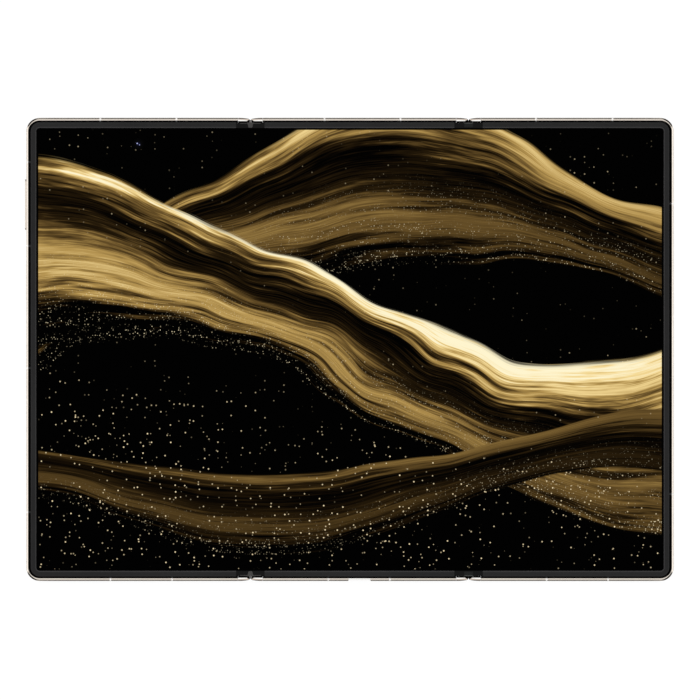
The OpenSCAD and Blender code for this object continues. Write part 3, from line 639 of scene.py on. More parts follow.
@dataclass(frozen=True)
class CircuitBoard(Coating):
    """Solder resist with copper tracks under it."""

    colour: Colour = (0.01, 0.07, 0.035)
    track: Colour = (0.03, 0.16, 0.07)

    def dress(self, shader: Shader) -> None:
        """Lays the tracks."""
        grid = {"Vector": shader.coordinates(), "Scale": 420.0, "Mortar Size": 0.012, "Brick Width": 1.7}
        lines = Value(shader, shader.node("TexBrick", grid).outputs["Fac"])
        shader.surface_set(Base_Color=shader.mix(lines, self.colour, self.track), Roughness=0.3 + lines * 0.1)
        shader.bump(lines, 0.00002, 0.5)


@dataclass(frozen=True)
class Ribbon:
    """One silk-like band of the screen's picture, in units of 100 mm."""

    level: float
    swing: float
    pace: float
    phase: float
    width: float
    swell: float
    tilt: float
    glow: float


SHEET_SCALE = 10.0  # units of 100 mm in a metre
GOLD_STOPS = (
    (0.0, DARK),
    (0.2, (0.020, 0.011, 0.003)),
    (0.42, (0.14, 0.082, 0.022)),
    (0.66, (0.47, 0.30, 0.085)),
    (0.88, (0.92, 0.70, 0.30)),
    (1.0, (1.0, 0.91, 0.62)),
)


@dataclass(frozen=True)
class LitScreen(Coating):
    """Glossy display that shows loose golden bands on black, with gold dust.

    The picture is an abstract of its own: three bands that cross the screen in waves. It reads the
    UV map of the unfolded sheet, in units of 100 mm, so it bends with the display.
    """

    half_width: float
    half_height: float
    fold: float
    fold_end: float
    corner: float = 0.006
    ribbons: tuple[Ribbon, ...] = (
        Ribbon(0.33, 0.22, 2.1, 0.6, 0.21, 0.08, 0.10, 0.85),
        Ribbon(0.0, 0.27, 1.7, 2.3, 0.25, 0.09, -0.06, 1.15),
        Ribbon(-0.45, 0.10, 2.6, 4.4, 0.11, 0.03, 0.05, 0.5),
    )

    def dress(self, shader: Shader) -> None:
        """Lights the picture, shows the soft strips at the ends of the inward fold, and paints a faint reflection
        beside them.
        """
        place = shader.out("UVMap", uv_map="Sheet")
        u, v, _ = shader.parts(place)
        slow = shader.noise(place, 1.3, 2.0)
        picture: Any = DARK
        for ribbon in self.ribbons:
            picture = self.lay(shader, picture, ribbon, (u, v, slow))
        picture = self.dust(shader, picture, place)
        out_u = (u.absolute() - (self.half_width - self.corner)).most(0.0)
        out_v = (v.absolute() - (self.half_height - self.corner)).most(0.0)
        lit = out_u.distance(out_v).ramp(self.corner - 0.0006, self.corner + 0.0006, 1.0, 0.0)
        border = v.absolute().ramp(self.half_height + 0.0055, self.half_height + 0.0065)
        ground = shader.mix(border, (0.0003, 0.0003, 0.0003), (0.009, 0.009, 0.009))
        near = (u - self.fold).absolute().ramp(0.016, 0.013)
        strip = near * v.absolute().ramp(self.fold_end - 0.0026, self.fold_end - 0.0014)
        # Painted reflection: a faint haze beside the strips, near the fold.
        reflection_haze = near * v.absolute().ramp(self.fold_end - 0.017, self.fold_end - 0.011) * 0.12
        shader.surface_set(
            Base_Color=shader.mix(strip.most(reflection_haze), ground, (0.07, 0.075, 0.073)),
            Roughness=shader.noise(place, 5.0, 4.0, 0.6) * 0.05 + 0.04,
            Specular_IOR_Level=0.003,
            Emission_Color=shader.mix(lit, DARK, picture),
            Emission_Strength=1.0,
        )

    def lay(self, shader: Shader, under: Any, ribbon: Ribbon, place: tuple[Value, Value, Value]) -> Socket:
        """Lays one band over the picture so far.

        Args:
            shader: The material.
            under: The picture so far.
            ribbon: The band.
            place: Place across and up the sheet, and the broad noise that bends the band.

        Returns:
            The new picture.
        """
        u, v, slow = place
        wave = (u * ribbon.pace + (slow * 1.6 + ribbon.phase)).sine()
        centre = wave * ribbon.swing + u * ribbon.tilt + ribbon.level
        breadth = (u * (ribbon.pace * 1.4) + ribbon.phase * 2.0).sine() * ribbon.swell + ribbon.width
        across = (v - centre) / breadth
        threads = shader.noise(shader.vector(u * 2.2 + ribbon.phase, across * 9.0), 1.0, 4.0, 0.62)
        hair = shader.noise(shader.vector(u * 3.0, across * 60.0 + ribbon.phase), 1.0, 3.0, 0.7)
        crease_shading = (across * 4.2 + threads * 7.0 + u * 1.4).sine() * 0.5 + 0.5
        light = crease_shading * 0.62 + threads * 0.45 + hair * 0.5 - 0.46
        rim = across.ramp(0.5, 0.97) * 0.3 - across.ramp(-0.1, -1.0) * 0.4
        gold = shader.out("ValToRGB", {0: ((light + rim) * ribbon.glow).most(0.0)}, stops=GOLD_STOPS)
        grit = shader.cells(shader.vector(u, v), 165.0)
        spark = Value(shader, grit.outputs["Distance"]).ramp(0.34, 0.1)
        spark = spark * shader.parts(grit.outputs["Color"])[1].ramp(0.35, 0.9)
        spark = spark * across.ramp(0.2, -0.75) * threads.ramp(0.4, 0.62) * ribbon.glow
        gold = shader.mix(spark.least(1.0), gold, (1.0, 0.86, 0.55))
        edge = (across + (hair - 0.5) * 0.12).absolute()
        return shader.mix(edge.ramp(1.0, 0.93), under, gold)

    def dust(self, shader: Shader, under: Socket, place: Socket) -> Socket:
        """Scatters gold dust in drifts over the picture's lower half.

        Args:
            shader: The material.
            under: The picture so far.
            place: Place on the sheet.

        Returns:
            The new picture.
        """
        u, v, _ = shader.parts(place)
        dots = shader.cells(place, 62.0)
        near = Value(shader, dots.outputs["Distance"]).ramp(0.2, 0.08)
        pick = shader.parts(dots.outputs["Color"])[0]
        drift = shader.noise(shader.stretched(place, (1.0, 3.2, 1.0)), 1.7, 3.0, 0.6)
        sink = (v + u * 0.18).ramp(-0.1, -0.45)
        chosen = (drift * (0.5 + sink * 0.55) - pick * 0.42).ramp(0.16, 0.34)
        spark = near * chosen * (0.35 + pick * 1.6).least(1.0)
        return shader.mix(spark, under, (0.95, 0.78, 0.48))


class Finish(Enum):
    """Every finish on the phone."""

    RAIL = RailMetal("champagne_rail", (0.74, 0.68, 0.61), (0.68, 0.615, 0.545), 0.15, gloss=0.01)
    KEY = PolishedMetal("champagne_key", (0.73, 0.665, 0.6), (0.67, 0.605, 0.535), 0.2)
    KNUCKLE = KnuckleMetal("polished_knuckle", (1.0, 0.99, 0.965), (0.98, 0.965, 0.935), 0.12, gloss=0.01)
    SPINE = PolishedMetal("brushed_spine", (0.55, 0.49, 0.43), (0.46, 0.4, 0.34), 0.26, (9000.0, 120.0, 9000.0))
    STEEL = PolishedMetal("bright_steel", (0.72, 0.71, 0.7), (0.6, 0.59, 0.58), 0.22)
    SHELL = ShellMetal("drawn_shell", (0.72, 0.71, 0.7), (0.6, 0.59, 0.58), 0.22, gloss=0.01)
    CAN = PolishedMetal("stamped_can", (0.62, 0.62, 0.6), (0.52, 0.52, 0.5), 0.34)
    FOIL = PolishedMetal("battery_foil", (0.42, 0.42, 0.43), (0.3, 0.3, 0.31), 0.42, (90.0, 90.0, 90.0))
    GOLD = PolishedMetal("island_gold", (0.74, 0.52, 0.28), (0.62, 0.42, 0.21), 0.18)
    CONTACT = PolishedMetal("contact_gold", (0.9, 0.66, 0.3), (0.78, 0.54, 0.22), 0.25)
    BEZEL = EdgeLitRubber("bezel_rubber", (0.0108, 0.0108, 0.011), (0.0138, 0.0138, 0.014), gloss=0.15)
    BREAK = BreakPlastic("antenna_break", (0.95, 0.925, 0.89), (0.9, 0.875, 0.84), 0.45)
    CAP = TippedPlastic("hinge_cap_coat", (0.022, 0.019, 0.017), (0.016, 0.014, 0.013), 0.42, gloss=0.25)
    TAB = MouldedPlastic("hinge_tab_coat", (0.05, 0.048, 0.046), (0.036, 0.034, 0.033), gloss=0.25)
    BLACK = MouldedPlastic("black_moulding", (0.006, 0.006, 0.0065), (0.01, 0.01, 0.0105), 0.45, gloss=0.2)
    BARREL = MouldedPlastic("barrel_black", (0.0004, 0.0004, 0.0005), (0.0007, 0.0007, 0.0008), 0.6, gloss=0.01)
    LEATHER = GrainedLeather("grained_leather", (0.016, 0.015, 0.015), (0.005, 0.005, 0.005))
    BOARD = CircuitBoard("circuit_board")
    GLASS = CoverGlass("cover_glass")
    COATED = BlackGlass("coated_lens", (0.004, 0.006, 0.012), (0.03, 0.05, 0.16), 0.03)
    SELFIE = CoatedLens("selfie_lens", "front_camera")
    FLASH = MouldedPlastic("flash_lens", (0.85, 0.8, 0.55), (0.9, 0.88, 0.75), 0.25, 900.0, 0.00004)

    def dress(self, *nodes: str) -> None:
        """Gives this finish to frame nodes that keep their CAD shape."""
        for node in nodes:
            coat(frame["nodes"][node], self.value.material())


# ---- geometry

BLUNT = math.radians(35.0)


def coat(piece: bpy.types.Object, material: Material) -> None:
    """Makes a material the only one of a piece."""
    piece.data.materials.clear()
    piece.data.materials.append(material)


class Piece:
    """A mesh in the making, at its place in the frame."""

    def __init__(self, name: str) -> None:
        """Starts the empty mesh of an object of this name."""
        self.name, self.mesh = name, bmesh.new()

    def path(self, points: Iterable[Sequence[float]], closed: bool = True) -> list[bmesh.types.BMEdge]:
        """Adds a row of vertices and the edges along it.

        Args:
            points: The places of the vertices.
            closed: Whether the row runs round.

        Returns:
            The edges.
        """
        verts = [self.mesh.verts.new(point) for point in points]
        after = verts[1:] + verts[:1] if closed else verts[1:]
        return [self.mesh.edges.new(pair) for pair in zip(verts, after)]

    def loft(self, rows: Iterable[Iterable[Sequence[float]]]) -> "Piece":
        """Bridges closed rows of points, each to the next, and closes both ends.

        Args:
            rows: Rows of the same length, from one end to the other.

        Returns:
            This piece.
        """
        loops = [self.path(row) for row in rows]
        for first, second in zip(loops, loops[1:]):
            bmesh.ops.bridge_loops(self.mesh, edges=first + second)
        bmesh.ops.edgeloop_fill(self.mesh, edges=loops[0] + loops[-1])
        return self

    def turned(self, centre: Sequence[float], profile: Sequence[tuple[float, float]], steps: int = 64) -> "Piece":
        """Turns a profile about the upright line through a centre.

        Args:
            centre: The x and y of the line.
            profile: Radii and levels from one end to the other; a radius of 0 closes an end.
            steps: Vertices per turn.

        Returns:
            This piece.
        """
        x, y = centre
        self.path(((x + radius, y, level) for radius, level in profile), closed=False)
        bmesh.ops.spin(
            self.mesh,
            geom=self.mesh.verts[:] + self.mesh.edges[:],
            cent=(x, y, 0.0),
            axis=(0.0, 0.0, 1.0),
            angle=math.tau,
            steps=steps,
            use_merge=True,
        )
        return self

    def box(self, low: Sequence[float], high: Sequence[float]) -> "Piece":
        """Adds a block between two opposite corners.

        Args:
            low: A corner.
            high: The corner across from it.

        Returns:
            This piece.
        """
        low, high = Vector(low), Vector(high)
        place = Matrix.LocRotScale((low + high) / 2, None, high - low)
        bmesh.ops.create_cube(self.mesh, size=1.0, matrix=place)
        return self

    def done(self, material: Material) -> bpy.types.Object:
        """Makes the object, smooth over its blunt edges.

        Args:
            material: The material.

        Returns:
            The object, linked to the scene.
        """
        bmesh.ops.remove_doubles(self.mesh, verts=self.mesh.verts, dist=1e-7)
        bmesh.ops.recalc_face_normals(self.mesh, faces=self.mesh.faces)
        for face in self.mesh.faces:
            face.smooth = True
        for edge in self.mesh.edges:
            edge.smooth = len(edge.link_faces) == 2 and edge.calc_face_angle(0.0) < BLUNT
        data = bpy.data.meshes.new(self.name)
        self.mesh.to_mesh(data)
        self.mesh.free()
        piece = bpy.data.objects.new(self.name, data)
        bpy.context.scene.collection.objects.link(piece)
        coat(piece, material)
        return piece


def outline(half_x: float, half_y: float, radii: Sequence[float], steps: int) -> list[tuple[float, float]]:
    """A rectangle about the origin, with its own radius at each corner.

    Args:
        half_x: Half its width.
        half_y: Half its height.
        radii: Radii at bottom left, bottom right, top right and top left.
        steps: Steps of each corner.

    Returns:
        Points, anticlockwise from the bottom left corner, with steps + 1 of them per corner.
    """
    points = []
    for quarter, ((x, y), radius) in enumerate(zip(((-1, -1), (1, -1), (1, 1), (-1, 1)), radii)):
        for k in range(steps + 1):
            angle = math.radians(180.0 + 90.0 * (quarter + k / steps))
            across, up = radius * (math.cos(angle) - x), radius * (math.sin(angle) - y)
            points.append((x * half_x + across, y * half_y + up))
    return points


# ---- layout


@dataclass(frozen=True)
class Layout:
    """Places that every sub-assembly shares, read from the frame, in metres."""

    left: float
    left_fold: float
    right_fold: float
    right: float
    half: float
    left_stop: float
    right_stop: float
    bezel_stop: float
    thin_back: float
    display_low: float
    display_top: float
    bezel_top: float

    @classmethod
    def read(cls) -> "Layout":
        """Measures the layout on the frame's boxes.

        Returns:
            The layout.
        """
        left_bend, right_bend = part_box("left_display_bend"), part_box("right_display_bend")
        left_bezel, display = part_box("left_bezel"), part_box("middle_display")
        left_fold = middle("left_display_bend").x
        return cls(
            left=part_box("left_frame")[0].x,
            left_fold=left_fold,
            right_fold=middle("right_display_bend").x,
            right=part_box("right_frame")[1].x,
            half=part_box("left_frame")[1].y,
            left_stop=(left_bend[1].x - left_bend[0].x) / 2,
            right_stop=(right_bend[1].x - right_bend[0].x) / 2,
            bezel_stop=left_fold - left_bezel[1].x,
            thin_back=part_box("left_back_cover")[0].z,
            display_low=display[0].z,
            display_top=display[1].z,
            bezel_top=left_bezel[1].z,
        )

    @property
    def centre(self) -> float:
        """The phone's middle, across."""
        return (self.left + self.right) / 2


@dataclass(frozen=True)
class SubAssembly:
    """One group of pieces that is built and then dressed."""

    layout: Layout

    def build(self) -> None:
        """Makes the new meshes."""

    def dress(self) -> None:
        """Gives the frame's own nodes their finishes."""


# ---- sub-assemblies


@dataclass(frozen=True)
class Screen(SubAssembly):
    """The display: three flat sheets and two bends that are one picture."""

    inset: float = 1.75 * MM
    lit_inset: float = 4.1 * MM
    sharp: float = 0.01 * MM
    columns: int = 24

    def build(self) -> None:
        """Makes the sheets and the bends."""
        place = self.layout
        left, left_stop, right, right_stop = place.left_fold, place.left_stop, place.right_fold, place.right_stop
        self._sheet("left", place.left + self.inset, left - left_stop, (True, False))
        self._sheet("middle", left + left_stop, right - right_stop, (False, False))
        self._sheet("right", right + right_stop, place.right - self.inset, (False, True))
        self._bend("left", left, left_stop, ("left_panel", "left_spine", "middle"))
        self._bend("right", right, right_stop, ("middle", "right_spine", "right_panel"))

    def _sheet(self, panel: str, x0: float, x1: float, rounded: tuple[bool, bool]) -> None:
        """Makes one flat sheet, with the front camera's hole in the left one.

        Args:
            panel: The panel's name.
            x0: Left end.
            x1: Right end.
            rounded: Whether the left and the right corners are round.
        """
        place = self.layout
        left, right = (BODY_ROUND - self.inset if side else self.sharp for side in rounded)
        rim = outline((x1 - x0) / 2, place.half - self.inset, (left, right, right, left), 12)
        piece = Piece(f"{panel}_display_glass")
        piece.path(((x0 + x1) / 2 + x, y, place.display_low) for x, y in rim)
        if panel == "left":
            x, y, radius = FrontCamera(place).hole()
            hole = Matrix.Translation((x, y, place.display_low))
            bmesh.ops.create_circle(piece.mesh, segments=64, radius=radius, matrix=hole)
        bmesh.ops.triangle_fill(piece.mesh, use_beauty=True, use_dissolve=False, edges=piece.mesh.edges[:])
        raised = bmesh.ops.extrude_face_region(piece.mesh, geom=piece.mesh.faces[:])["geom"]
        verts = [item for item in raised if isinstance(item, bmesh.types.BMVert)]
        bmesh.ops.translate(piece.mesh, verts=verts, vec=(0.0, 0.0, place.display_top - place.display_low))
        sheet = self._lit(piece)
        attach(sheet, "middle" if panel == "middle" else f"{panel}_panel")
        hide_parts(f"{panel}_display")

    def _bend(self, side: str, fold: float, stop: float, bodies: tuple[str, str, str]) -> None:
        """Makes the two halves of one bend.

        Args:
            side: Which fold.
            fold: The fold's place across the phone.
            stop: How far the bend reaches from it.
            bodies: The bodies on the left, in the middle and on the right of the fold; not used.
        """
        low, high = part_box(f"{side}_display_bend")
        section = ((low.y, low.z), (high.y, low.z), (high.y, high.z), (low.y, high.z))
        halves = (("outer", fold - stop, fold), ("inner", fold, fold + stop))
        for (half, x0, x1), first, second in zip(halves, bodies, bodies[1:]):
            places = [x0 + (x1 - x0) * k / self.columns for k in range(self.columns + 1)]
            rows = [[(x, y, z) for y, z in section] for x in places]
            piece = self._lit(Piece(f"{side}_bend_{half}_half").loft(rows))
            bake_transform(piece)
            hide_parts(f"{side}_display_bend")

    def _lit(self, piece: Piece) -> bpy.types.Object:
        """Finishes a piece as a part of the lit sheet.

        Args:
            piece: The piece.

        Returns:
            Its object, with the sheet's UV map.
        """
        place = self.layout
        sizes = (
            place.centre - place.left - self.lit_inset,
            place.half - self.lit_inset,
            place.right_fold - place.centre,
            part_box("right_display_bend")[1].y,
        )
        made = piece.done(LitScreen("lit_screen", *(size * SHEET_SCALE for size in sizes)).material())
        data = made.data
        layer = data.uv_layers.new(name="Sheet")
        for loop in data.loops:
            x, y, _ = data.vertices[loop.vertex_index].co
            layer.data[loop.index].uv = ((x - place.centre) * SHEET_SCALE, y * SHEET_SCALE)
        return made


@dataclass(frozen=True)
class Bezels(SubAssembly):
    """The raised soft strips round the display."""

    inner: float = 3.53 * MM
    outer: float = 1.5 * MM
    ease: float = 0.22 * MM
    narrowing: float = 0.05
    steps: int = 14

    def build(self) -> None:
        """Makes the strips of all three panels."""
        place = self.layout
        self._bracket("left", place.left, place.left_fold - place.bezel_stop)
        self._bracket("right", place.right, place.right_fold + place.bezel_stop)
        piece = Piece("middle_bezel_strips")
        for side in (-1.0, 1.0):
            ends = (place.left_fold + place.bezel_stop, place.right_fold - place.bezel_stop)
            piece.loft(self._row(x, side) for x in ends)
        self._place(piece, "middle", "middle")

    def _profile(self) -> list[tuple[float, float]]:
        """Draws the strip's rounded section.

        Returns:
            Its points, as (inset, level).
        """
        low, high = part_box("left_bezel")[0].z, self.layout.bezel_top
        turn = [math.radians(22.5 * k) for k in range(5)]
        drops = [(self.ease * (1 - math.cos(a)), high - self.ease * (1 - math.sin(a))) for a in turn]
        outer = [(self.outer + across, level) for across, level in drops]
        inner = [(self.inner - across, level) for across, level in reversed(drops)]
        return [(self.outer, low), *outer, *inner, (self.inner, low)]

    def _row(self, x: float, side: float) -> list[tuple[float, float, float]]:
        """The section across a straight strip at one end of the phone."""
        return [(x, side * (self.layout.half - inset), z) for inset, z in self._profile()]

    def _bracket(self, panel: str, edge: float, stop: float) -> None:
        """Makes an outer panel's strip, which runs round three sides and is narrower on its long side.

        Args:
            panel: The panel's name.
            edge: The panel's outer edge.
            stop: Where the strip ends before the fold.
        """
        toward = math.copysign(1.0, stop - edge)
        centre_x, centre_y = edge + toward * BODY_ROUND, self.layout.half - BODY_ROUND
        turn = [math.radians(90.0 * k / self.steps) for k in range(self.steps + 1)]
        rows = [self._row(stop, -1.0)]
        for side, angles in ((-1.0, turn), (1.0, reversed(turn))):
            for angle in angles:
                row = []
                for inset, z in self._profile():
                    across = (BODY_ROUND - inset + (inset - self.outer) * self.narrowing) * math.sin(angle)
                    up = centre_y + (BODY_ROUND - inset) * math.cos(angle)
                    row.append((centre_x - toward * across, side * up, z))
                rows.append(row)
        rows.append(self._row(stop, 1.0))
        self._place(Piece(f"{panel}_bezel_strip").loft(rows), panel, f"{panel}_panel")

    def _place(self, piece: Piece, panel: str, body: str) -> None:
        """Finishes a strip and puts it on its body.

        Args:
            piece: The strip.
            panel: Its panel.
            body: The body that it rides on.
        """
        strip = piece.done(Finish.BEZEL.value.material())
        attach(strip, body)
        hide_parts(f"{panel}_bezel")


@dataclass(frozen=True)
class HingeTabs(SubAssembly):
    """The small tabs and lips over the ends of the outward fold, and the fins in the inward one's slots.

    The tab's shape is (inset, half width) in mm, from its outer end to its inner end.
    """

    shape: Pairs = (
        (1.62, 1.1), (1.72, 1.22), (1.95, 1.22), (2.2, 0.95), (2.55, 0.82), (3.0, 0.74), (3.25, 0.66), (3.35, 0.5)
    )
    crown: float = 0.85
    sunk: float = 0.02 * MM
    tab_rise: float = 0.06 * MM
    lip_rise: float = 0.04 * MM
    lip_insets: tuple[float, float] = (1.8 * MM, 2.02 * MM)
    lip_across: tuple[float, float] = (1.3 * MM, 3.5 * MM)
    fin_insets: tuple[float, float] = (0.85 * MM, 1.64 * MM)
    fin_half: float = 0.08 * MM
    fin_ends: tuple[float, float] = (0.7 * MM, 1.1 * MM)

    def build(self) -> None:
        """Makes a tab, two lips and a fin at each end."""
        place, top = self.layout, self.layout.display_top
        low, high = top - self.sunk, top + self.tab_rise
        for name, side in (("top", 1.0), ("bottom", -1.0)):
            rows = []
            for inset, half in self.shape:
                y, w = side * (place.half - inset * MM), half * MM
                section = ((-w, low), (-w * self.crown, high), (w * self.crown, high), (w, low))
                rows.append([(place.left_fold + x, y, z) for x, z in section])
            tab = Piece(f"left_hinge_{name}_tab").loft(rows).done(Finish.TAB.value.material())
            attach(tab, "left_spine")
            y0, y1 = (side * (place.half - inset) for inset in self.lip_insets)
            for body, toward in (("left_panel", -1.0), ("middle", 1.0)):
                x0, x1 = (place.left_fold + toward * across for across in self.lip_across)
                piece = Piece(f"{body}_{name}_lip").box((x0, y0, low), (x1, y1, top + self.lip_rise))
                lip = piece.done(Finish.TAB.value.material())
                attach(lip, body)
            y0, y1 = (side * (place.half - inset) for inset in self.fin_insets)
            z0, z1 = place.thin_back + self.fin_ends[0], top - self.fin_ends[1]
            x0, x1 = place.right_fold - self.fin_half, place.right_fold + self.fin_half
            piece = Piece(f"right_hinge_{name}_fin").box((x0, y0, z0), (x1, y1, z1))
            fin = piece.done(Finish.CAP.value.material())
            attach(fin, "right_spine")


@dataclass(frozen=True)
class FrontCamera(SubAssembly):
    """The camera behind the display's hole."""

    hole_radius: float = 2.05 * MM
    rim: float = 1.95 * MM
    lens: float = 1.4 * MM

    def hole(self) -> tuple[float, float, float]:
        """The hole's centre and radius."""
        place = middle("front_camera")
        return place.x, place.y, self.hole_radius

    def build(self) -> None:
        """Makes the rim round the lens and the front lens, on the module's flat top."""
        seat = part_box("front_camera")[1].z
        room = self.layout.display_top - seat
        bore = self.lens + 0.02 * MM
        rim = [(self.rim, 0.0), (self.rim, 0.7), (self.rim - 0.05 * MM, 0.9), (self.lens + 0.1 * MM, 0.9)]
        rim += [(bore, 0.5), (bore, 0.0), (self.rim, 0.0)]
        turn = [math.radians(degrees) for degrees in range(0, 90, 10)]
        dome = [(self.lens * math.cos(angle), 0.1 + 0.6 * math.sin(angle)) for angle in turn]
        for kind, profile, finish, slot in (
            ("rim", rim, Finish.BARREL, "black_plastic"),
            ("lens", [*dome, (0.0, 0.7)], Finish.SELFIE, "lens_glass"),
        ):
            levels = [(radius, seat + room * share) for radius, share in profile]
            piece = Piece(f"front_camera_{kind}").turned(self.hole()[:2], levels)
            made = piece.done(finish.value.material())
            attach(made, "left_panel")

    def dress(self) -> None:
        """Darkens the camera's own housing."""
        Finish.BARREL.dress("front_camera")


@dataclass(frozen=True)
class Keys(SubAssembly):
    """The volume rocker and the power key, with eased faces.

    The easing is (in from the outline, back from the face) in mm.
    """

    lengths: tuple[tuple[str, float], ...] = (("volume_rocker", 17.2 * MM), ("power_key", 12.2 * MM))
    height: float = 1.7 * MM
    easing: Pairs = ((0.0, 0.22), (0.03, 0.1), (0.1, 0.03), (0.2, 0.0))

    def build(self) -> None:
        """Makes both keys."""
        for name, length in self.lengths:
            (face, _, _), (back, _, _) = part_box(name)
            _, y, z = middle(name)
            rows = []
            for inset, x in ((0.0, back), *((a * MM, face + b * MM) for a, b in self.easing)):
                half_y, half_z = length / 2 - inset, self.height / 2 - inset
                rim = outline(half_y, half_z, (half_z - 1e-6,) * 4, 8)
                rows.append([(x, y + a, z + b) for a, b in rim])
            key = Piece(f"{name}_cap").loft(rows).done(Finish.KEY.value.material())
            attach(key, name)
            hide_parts(name)


@dataclass(frozen=True)
class CameraIsland(SubAssembly):
    """The rear island: ring, glass and the lens stacks behind it.

    A camera is (name, place, radius) in mm, and a profile is (share of the bore, level in mm).
    """

    cameras: tuple[tuple[str, tuple[float, float], float], ...] = (
        ("main", (-6.0, 5.0), 5.2),
        ("wide", (6.4, 5.0), 4.4),
    )
    wall: float = 1.25
    steps: Pairs = (
        (1.0, 0.95), (0.86, 1.0), (0.84, 1.12), (0.7, 1.16), (0.68, 1.3), (0.5, 1.36), (0.48, 1.58), (1.0, 1.58),
        (1.0, 0.95),
    )
    lens: Pairs = ((0.66, 1.5), (0.6, 1.32), (0.45, 1.22), (0.25, 1.17), (0.0, 1.15))

    def build(self) -> None:
        """Makes a stack of rings and a lens for each round camera."""
        island = middle("camera_island_ring")
        for name, (x, y), radius in self.cameras:
            for kind, profile, finish, slot in (
                ("steps", self.steps, Finish.BLACK, "black_plastic"),
                ("lens", self.lens, Finish.COATED, "lens_glass"),
            ):
                rows = [(share * (radius - self.wall) * MM, level * MM) for share, level in profile]
                piece = Piece(f"{name}_camera_{kind}").turned((island.x + x * MM, island.y + y * MM), rows)
                made = piece.done(finish.value.material())
                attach(made, "right_panel")

    def dress(self) -> None:
        """Gives the ring, the glass, the modules and the flash their finishes."""
        Finish.GOLD.dress("camera_island_ring")
        Finish.GLASS.dress("camera_glass")
        Finish.BLACK.dress("main_camera", "wide_camera", "periscope_camera")
        Finish.FLASH.dress("flash_led")


@dataclass(frozen=True)
class UsbSocket(SubAssembly):
    """The contacts on the socket's tongue."""

    count: int = 12
    pitch: float = 0.5 * MM
    half: float = 0.12 * MM
    reach: tuple[float, float] = (0.5 * MM, 3.4 * MM)
    rise: float = 0.03 * MM
    sunk: float = 0.05 * MM

    def build(self) -> None:
        """Makes the row of contact strips on the tongue's upper side."""
        low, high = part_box("usb_c_tongue")
        y0, y1 = (low.y + reach for reach in self.reach)
        piece = Piece("usb_c_contacts")
        for k in range(self.count):
            x = middle("usb_c_tongue").x + (k - (self.count - 1) / 2) * self.pitch
            piece.box((x - self.half, y0, high.z - self.sunk), (x + self.half, y1, high.z + self.rise))
        made = piece.done(Finish.CONTACT.value.material())
        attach(made, "middle")

    def dress(self) -> None:
        """Gives the shell and the tongue their finishes."""
        Finish.SHELL.dress("usb_c_shell")
        Finish.BLACK.dress("usb_c_tongue")


@dataclass(frozen=True)
class Frames(SubAssembly):
    """Rails, backs, hinges and what is inside, which keep their CAD shape."""

    def dress(self) -> None:
        """Gives every group its finish."""
        Finish.RAIL.dress("sim_tray")
        Finish.STEEL.dress("middle_wing_screws")
        for panel in ("left", "middle", "right"):
            Finish.RAIL.dress(f"{panel}_frame")
            Finish.LEATHER.dress(f"{panel}_back_cover")
            Finish.BREAK.dress(f"{panel}_antenna_breaks")
            Finish.FOIL.dress(f"{panel}_battery")
        for side in ("left", "right"):
            Finish.KNUCKLE.dress(f"{side}_hinge_panel_wing", f"{side}_hinge_middle_wing")
            Finish.SPINE.dress(f"{side}_hinge_spine")
            Finish.CAP.dress(f"{side}_hinge_end_caps")
            Finish.STEEL.dress(f"{side}_hinge_pins", f"{side}_wing_screws")
        Finish.BOARD.dress("main_board", "key_switch_board", "usb_board")
        Finish.CAN.dress("shield_cans", "sim_tray_cage", "vibration_motor")
        Finish.BLACK.dress("earpiece", "loudspeakers")
        Finish.CONTACT.dress("rear_microphone")


# ---- stage


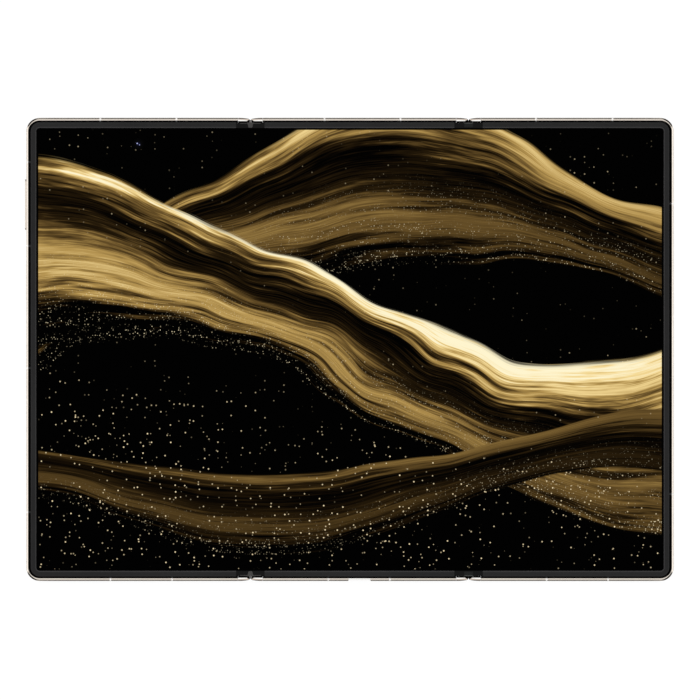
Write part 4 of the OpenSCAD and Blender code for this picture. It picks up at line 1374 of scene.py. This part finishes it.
@dataclass(frozen=True)
class Stage:
    """White floor, soft lamps, world and camera."""

    view_width: float = 0.2367
    height: float = 2.4
    screen_level: float = 0.0077
    off_centre: tuple[float, float] = (0.000225, -0.0002)
    top_light: float = 1.0
    side_light: float = 1.8
    end_light: float = 0.12
    slant_drop: float = 0.17
    shade_x: float = 0.1051
    shade_y: float = 0.0737
    shade_edge: float = 0.003

    def build(self) -> None:
        """Makes everything round the phone."""
        self._world()
        self._floor()
        self._lamp("key_lamp", (-0.5, 0.7, 1.5), 0.9, 9.0)
        self._lamp("fill_lamp", (0.9, -0.5, 1.2), 1.2, 4.0)
        self._camera()
        bpy.context.scene.view_settings.view_transform = "Standard"

    def _world(self) -> None:
        """White to the camera, and to all else a studio with bright sides, dim ends and dark corners."""
        world = bpy.data.worlds.new("studio")
        graph = Graph(world)
        x, y, z = graph.parts(graph.node("TexCoord").outputs["Generated"])
        beside = x.absolute().ramp(0.68, 0.9, self.end_light, self.side_light)
        slant = ((x * y).absolute() / (x * x + y * y + 0.001)).ramp(0.29, 0.42)
        around = beside * (1.0 - slant * 0.95)
        level = (z - slant * self.slant_drop).ramp(0.5, 0.85 - self.slant_drop)
        light = around * (1.0 - level) + level * self.top_light
        studio = graph.out("Background", {0: (1.0, 0.99, 0.98), 1: light})
        white = graph.out("Background", {0: WHITE, 1: 1.0})
        graph.node("OutputWorld", {0: graph.seen_directly(white, studio)})
        bpy.context.scene.world = world

    def _floor(self) -> None:
        """White floor that keeps a faint shadow, and that the rails mirror as sides, ends and dark corners."""
        material = bpy.data.materials.new("floor_white")
        graph = Graph(material)
        glow = graph.out("Emission", {0: WHITE, 1: 0.93})
        seen = graph.out("AddShader", {0: glow, 1: graph.out("BsdfDiffuse", {0: (0.12, 0.12, 0.12)})})
        x, y, _ = graph.parts(graph.coordinates())
        beside = graph.mix(x.absolute().ramp(0.1, 0.112), (0.35, 0.35, 0.35), (0.88, 0.87, 0.86))
        past_x, past_y = x.absolute() - self.shade_x, y.absolute() - self.shade_y
        corner = (past_y - past_x * 0.35).ramp(0.0, self.shade_edge)
        corner = corner * (past_x - past_y * 0.15).ramp(0.0, self.shade_edge)
        tone = graph.mix(corner, beside, (0.04, 0.036, 0.032))
        mirrored = graph.out("BsdfDiffuse", {0: tone})
        graph.node("OutputMaterial", {0: graph.seen_directly(seen, mirrored)})
        piece = Piece("floor")
        under = Matrix.Translation((0.0, 0.0, -0.00002))
        bmesh.ops.create_grid(piece.mesh, x_segments=1, y_segments=1, size=6.0, matrix=under)
        piece.done(material)

    def _lamp(self, name: str, place: Sequence[float], size: float, power: float) -> None:
        """Adds a soft square lamp that points at the phone.

        Args:
            name: The lamp's name.
            place: Where it hangs.
            size: Its side.
            power: Its power in watts.
        """
        data = bpy.data.lights.new(name, "AREA")
        data.size, data.energy = size, power
        lamp = bpy.data.objects.new(name, data)
        lamp.location = place
        lamp.rotation_mode = "QUATERNION"
        lamp.rotation_quaternion = (-Vector(place)).to_track_quat("-Z", "Y")
        lamp.visible_glossy = False
        bpy.context.scene.collection.objects.link(lamp)

    def _camera(self) -> None:
        """Long lens, straight down on the unfolded phone."""
        data = bpy.data.cameras.new("camera")
        data.sensor_width = 36.0
        data.lens = data.sensor_width * (self.height - self.screen_level) / self.view_width
        data.clip_start, data.clip_end = 0.1, 20.0
        camera = bpy.data.objects.new("camera", data)
        camera.location = (*self.off_centre, self.height)
        bpy.context.scene.collection.objects.link(camera)
        bpy.context.scene.camera = camera


def main() -> None:
    """Builds and dresses the phone, sets the stage and reports each piece."""
    logging.basicConfig(level=logging.INFO)
    layout = Layout.read()
    for part in (Screen, Bezels, HingeTabs, FrontCamera, Keys, CameraIsland, UsbSocket, Frames):
        assembly = part(layout)
        assembly.build()
        assembly.dress()
    Stage().build()
    for piece in bpy.context.scene.objects:
        if piece.type == "MESH":
            finishes = [slot.name for slot in piece.material_slots]
            LOG.info("%s: %d faces, %s", piece.name, len(piece.data.polygons), finishes)


if __name__ == "__main__":
    main()
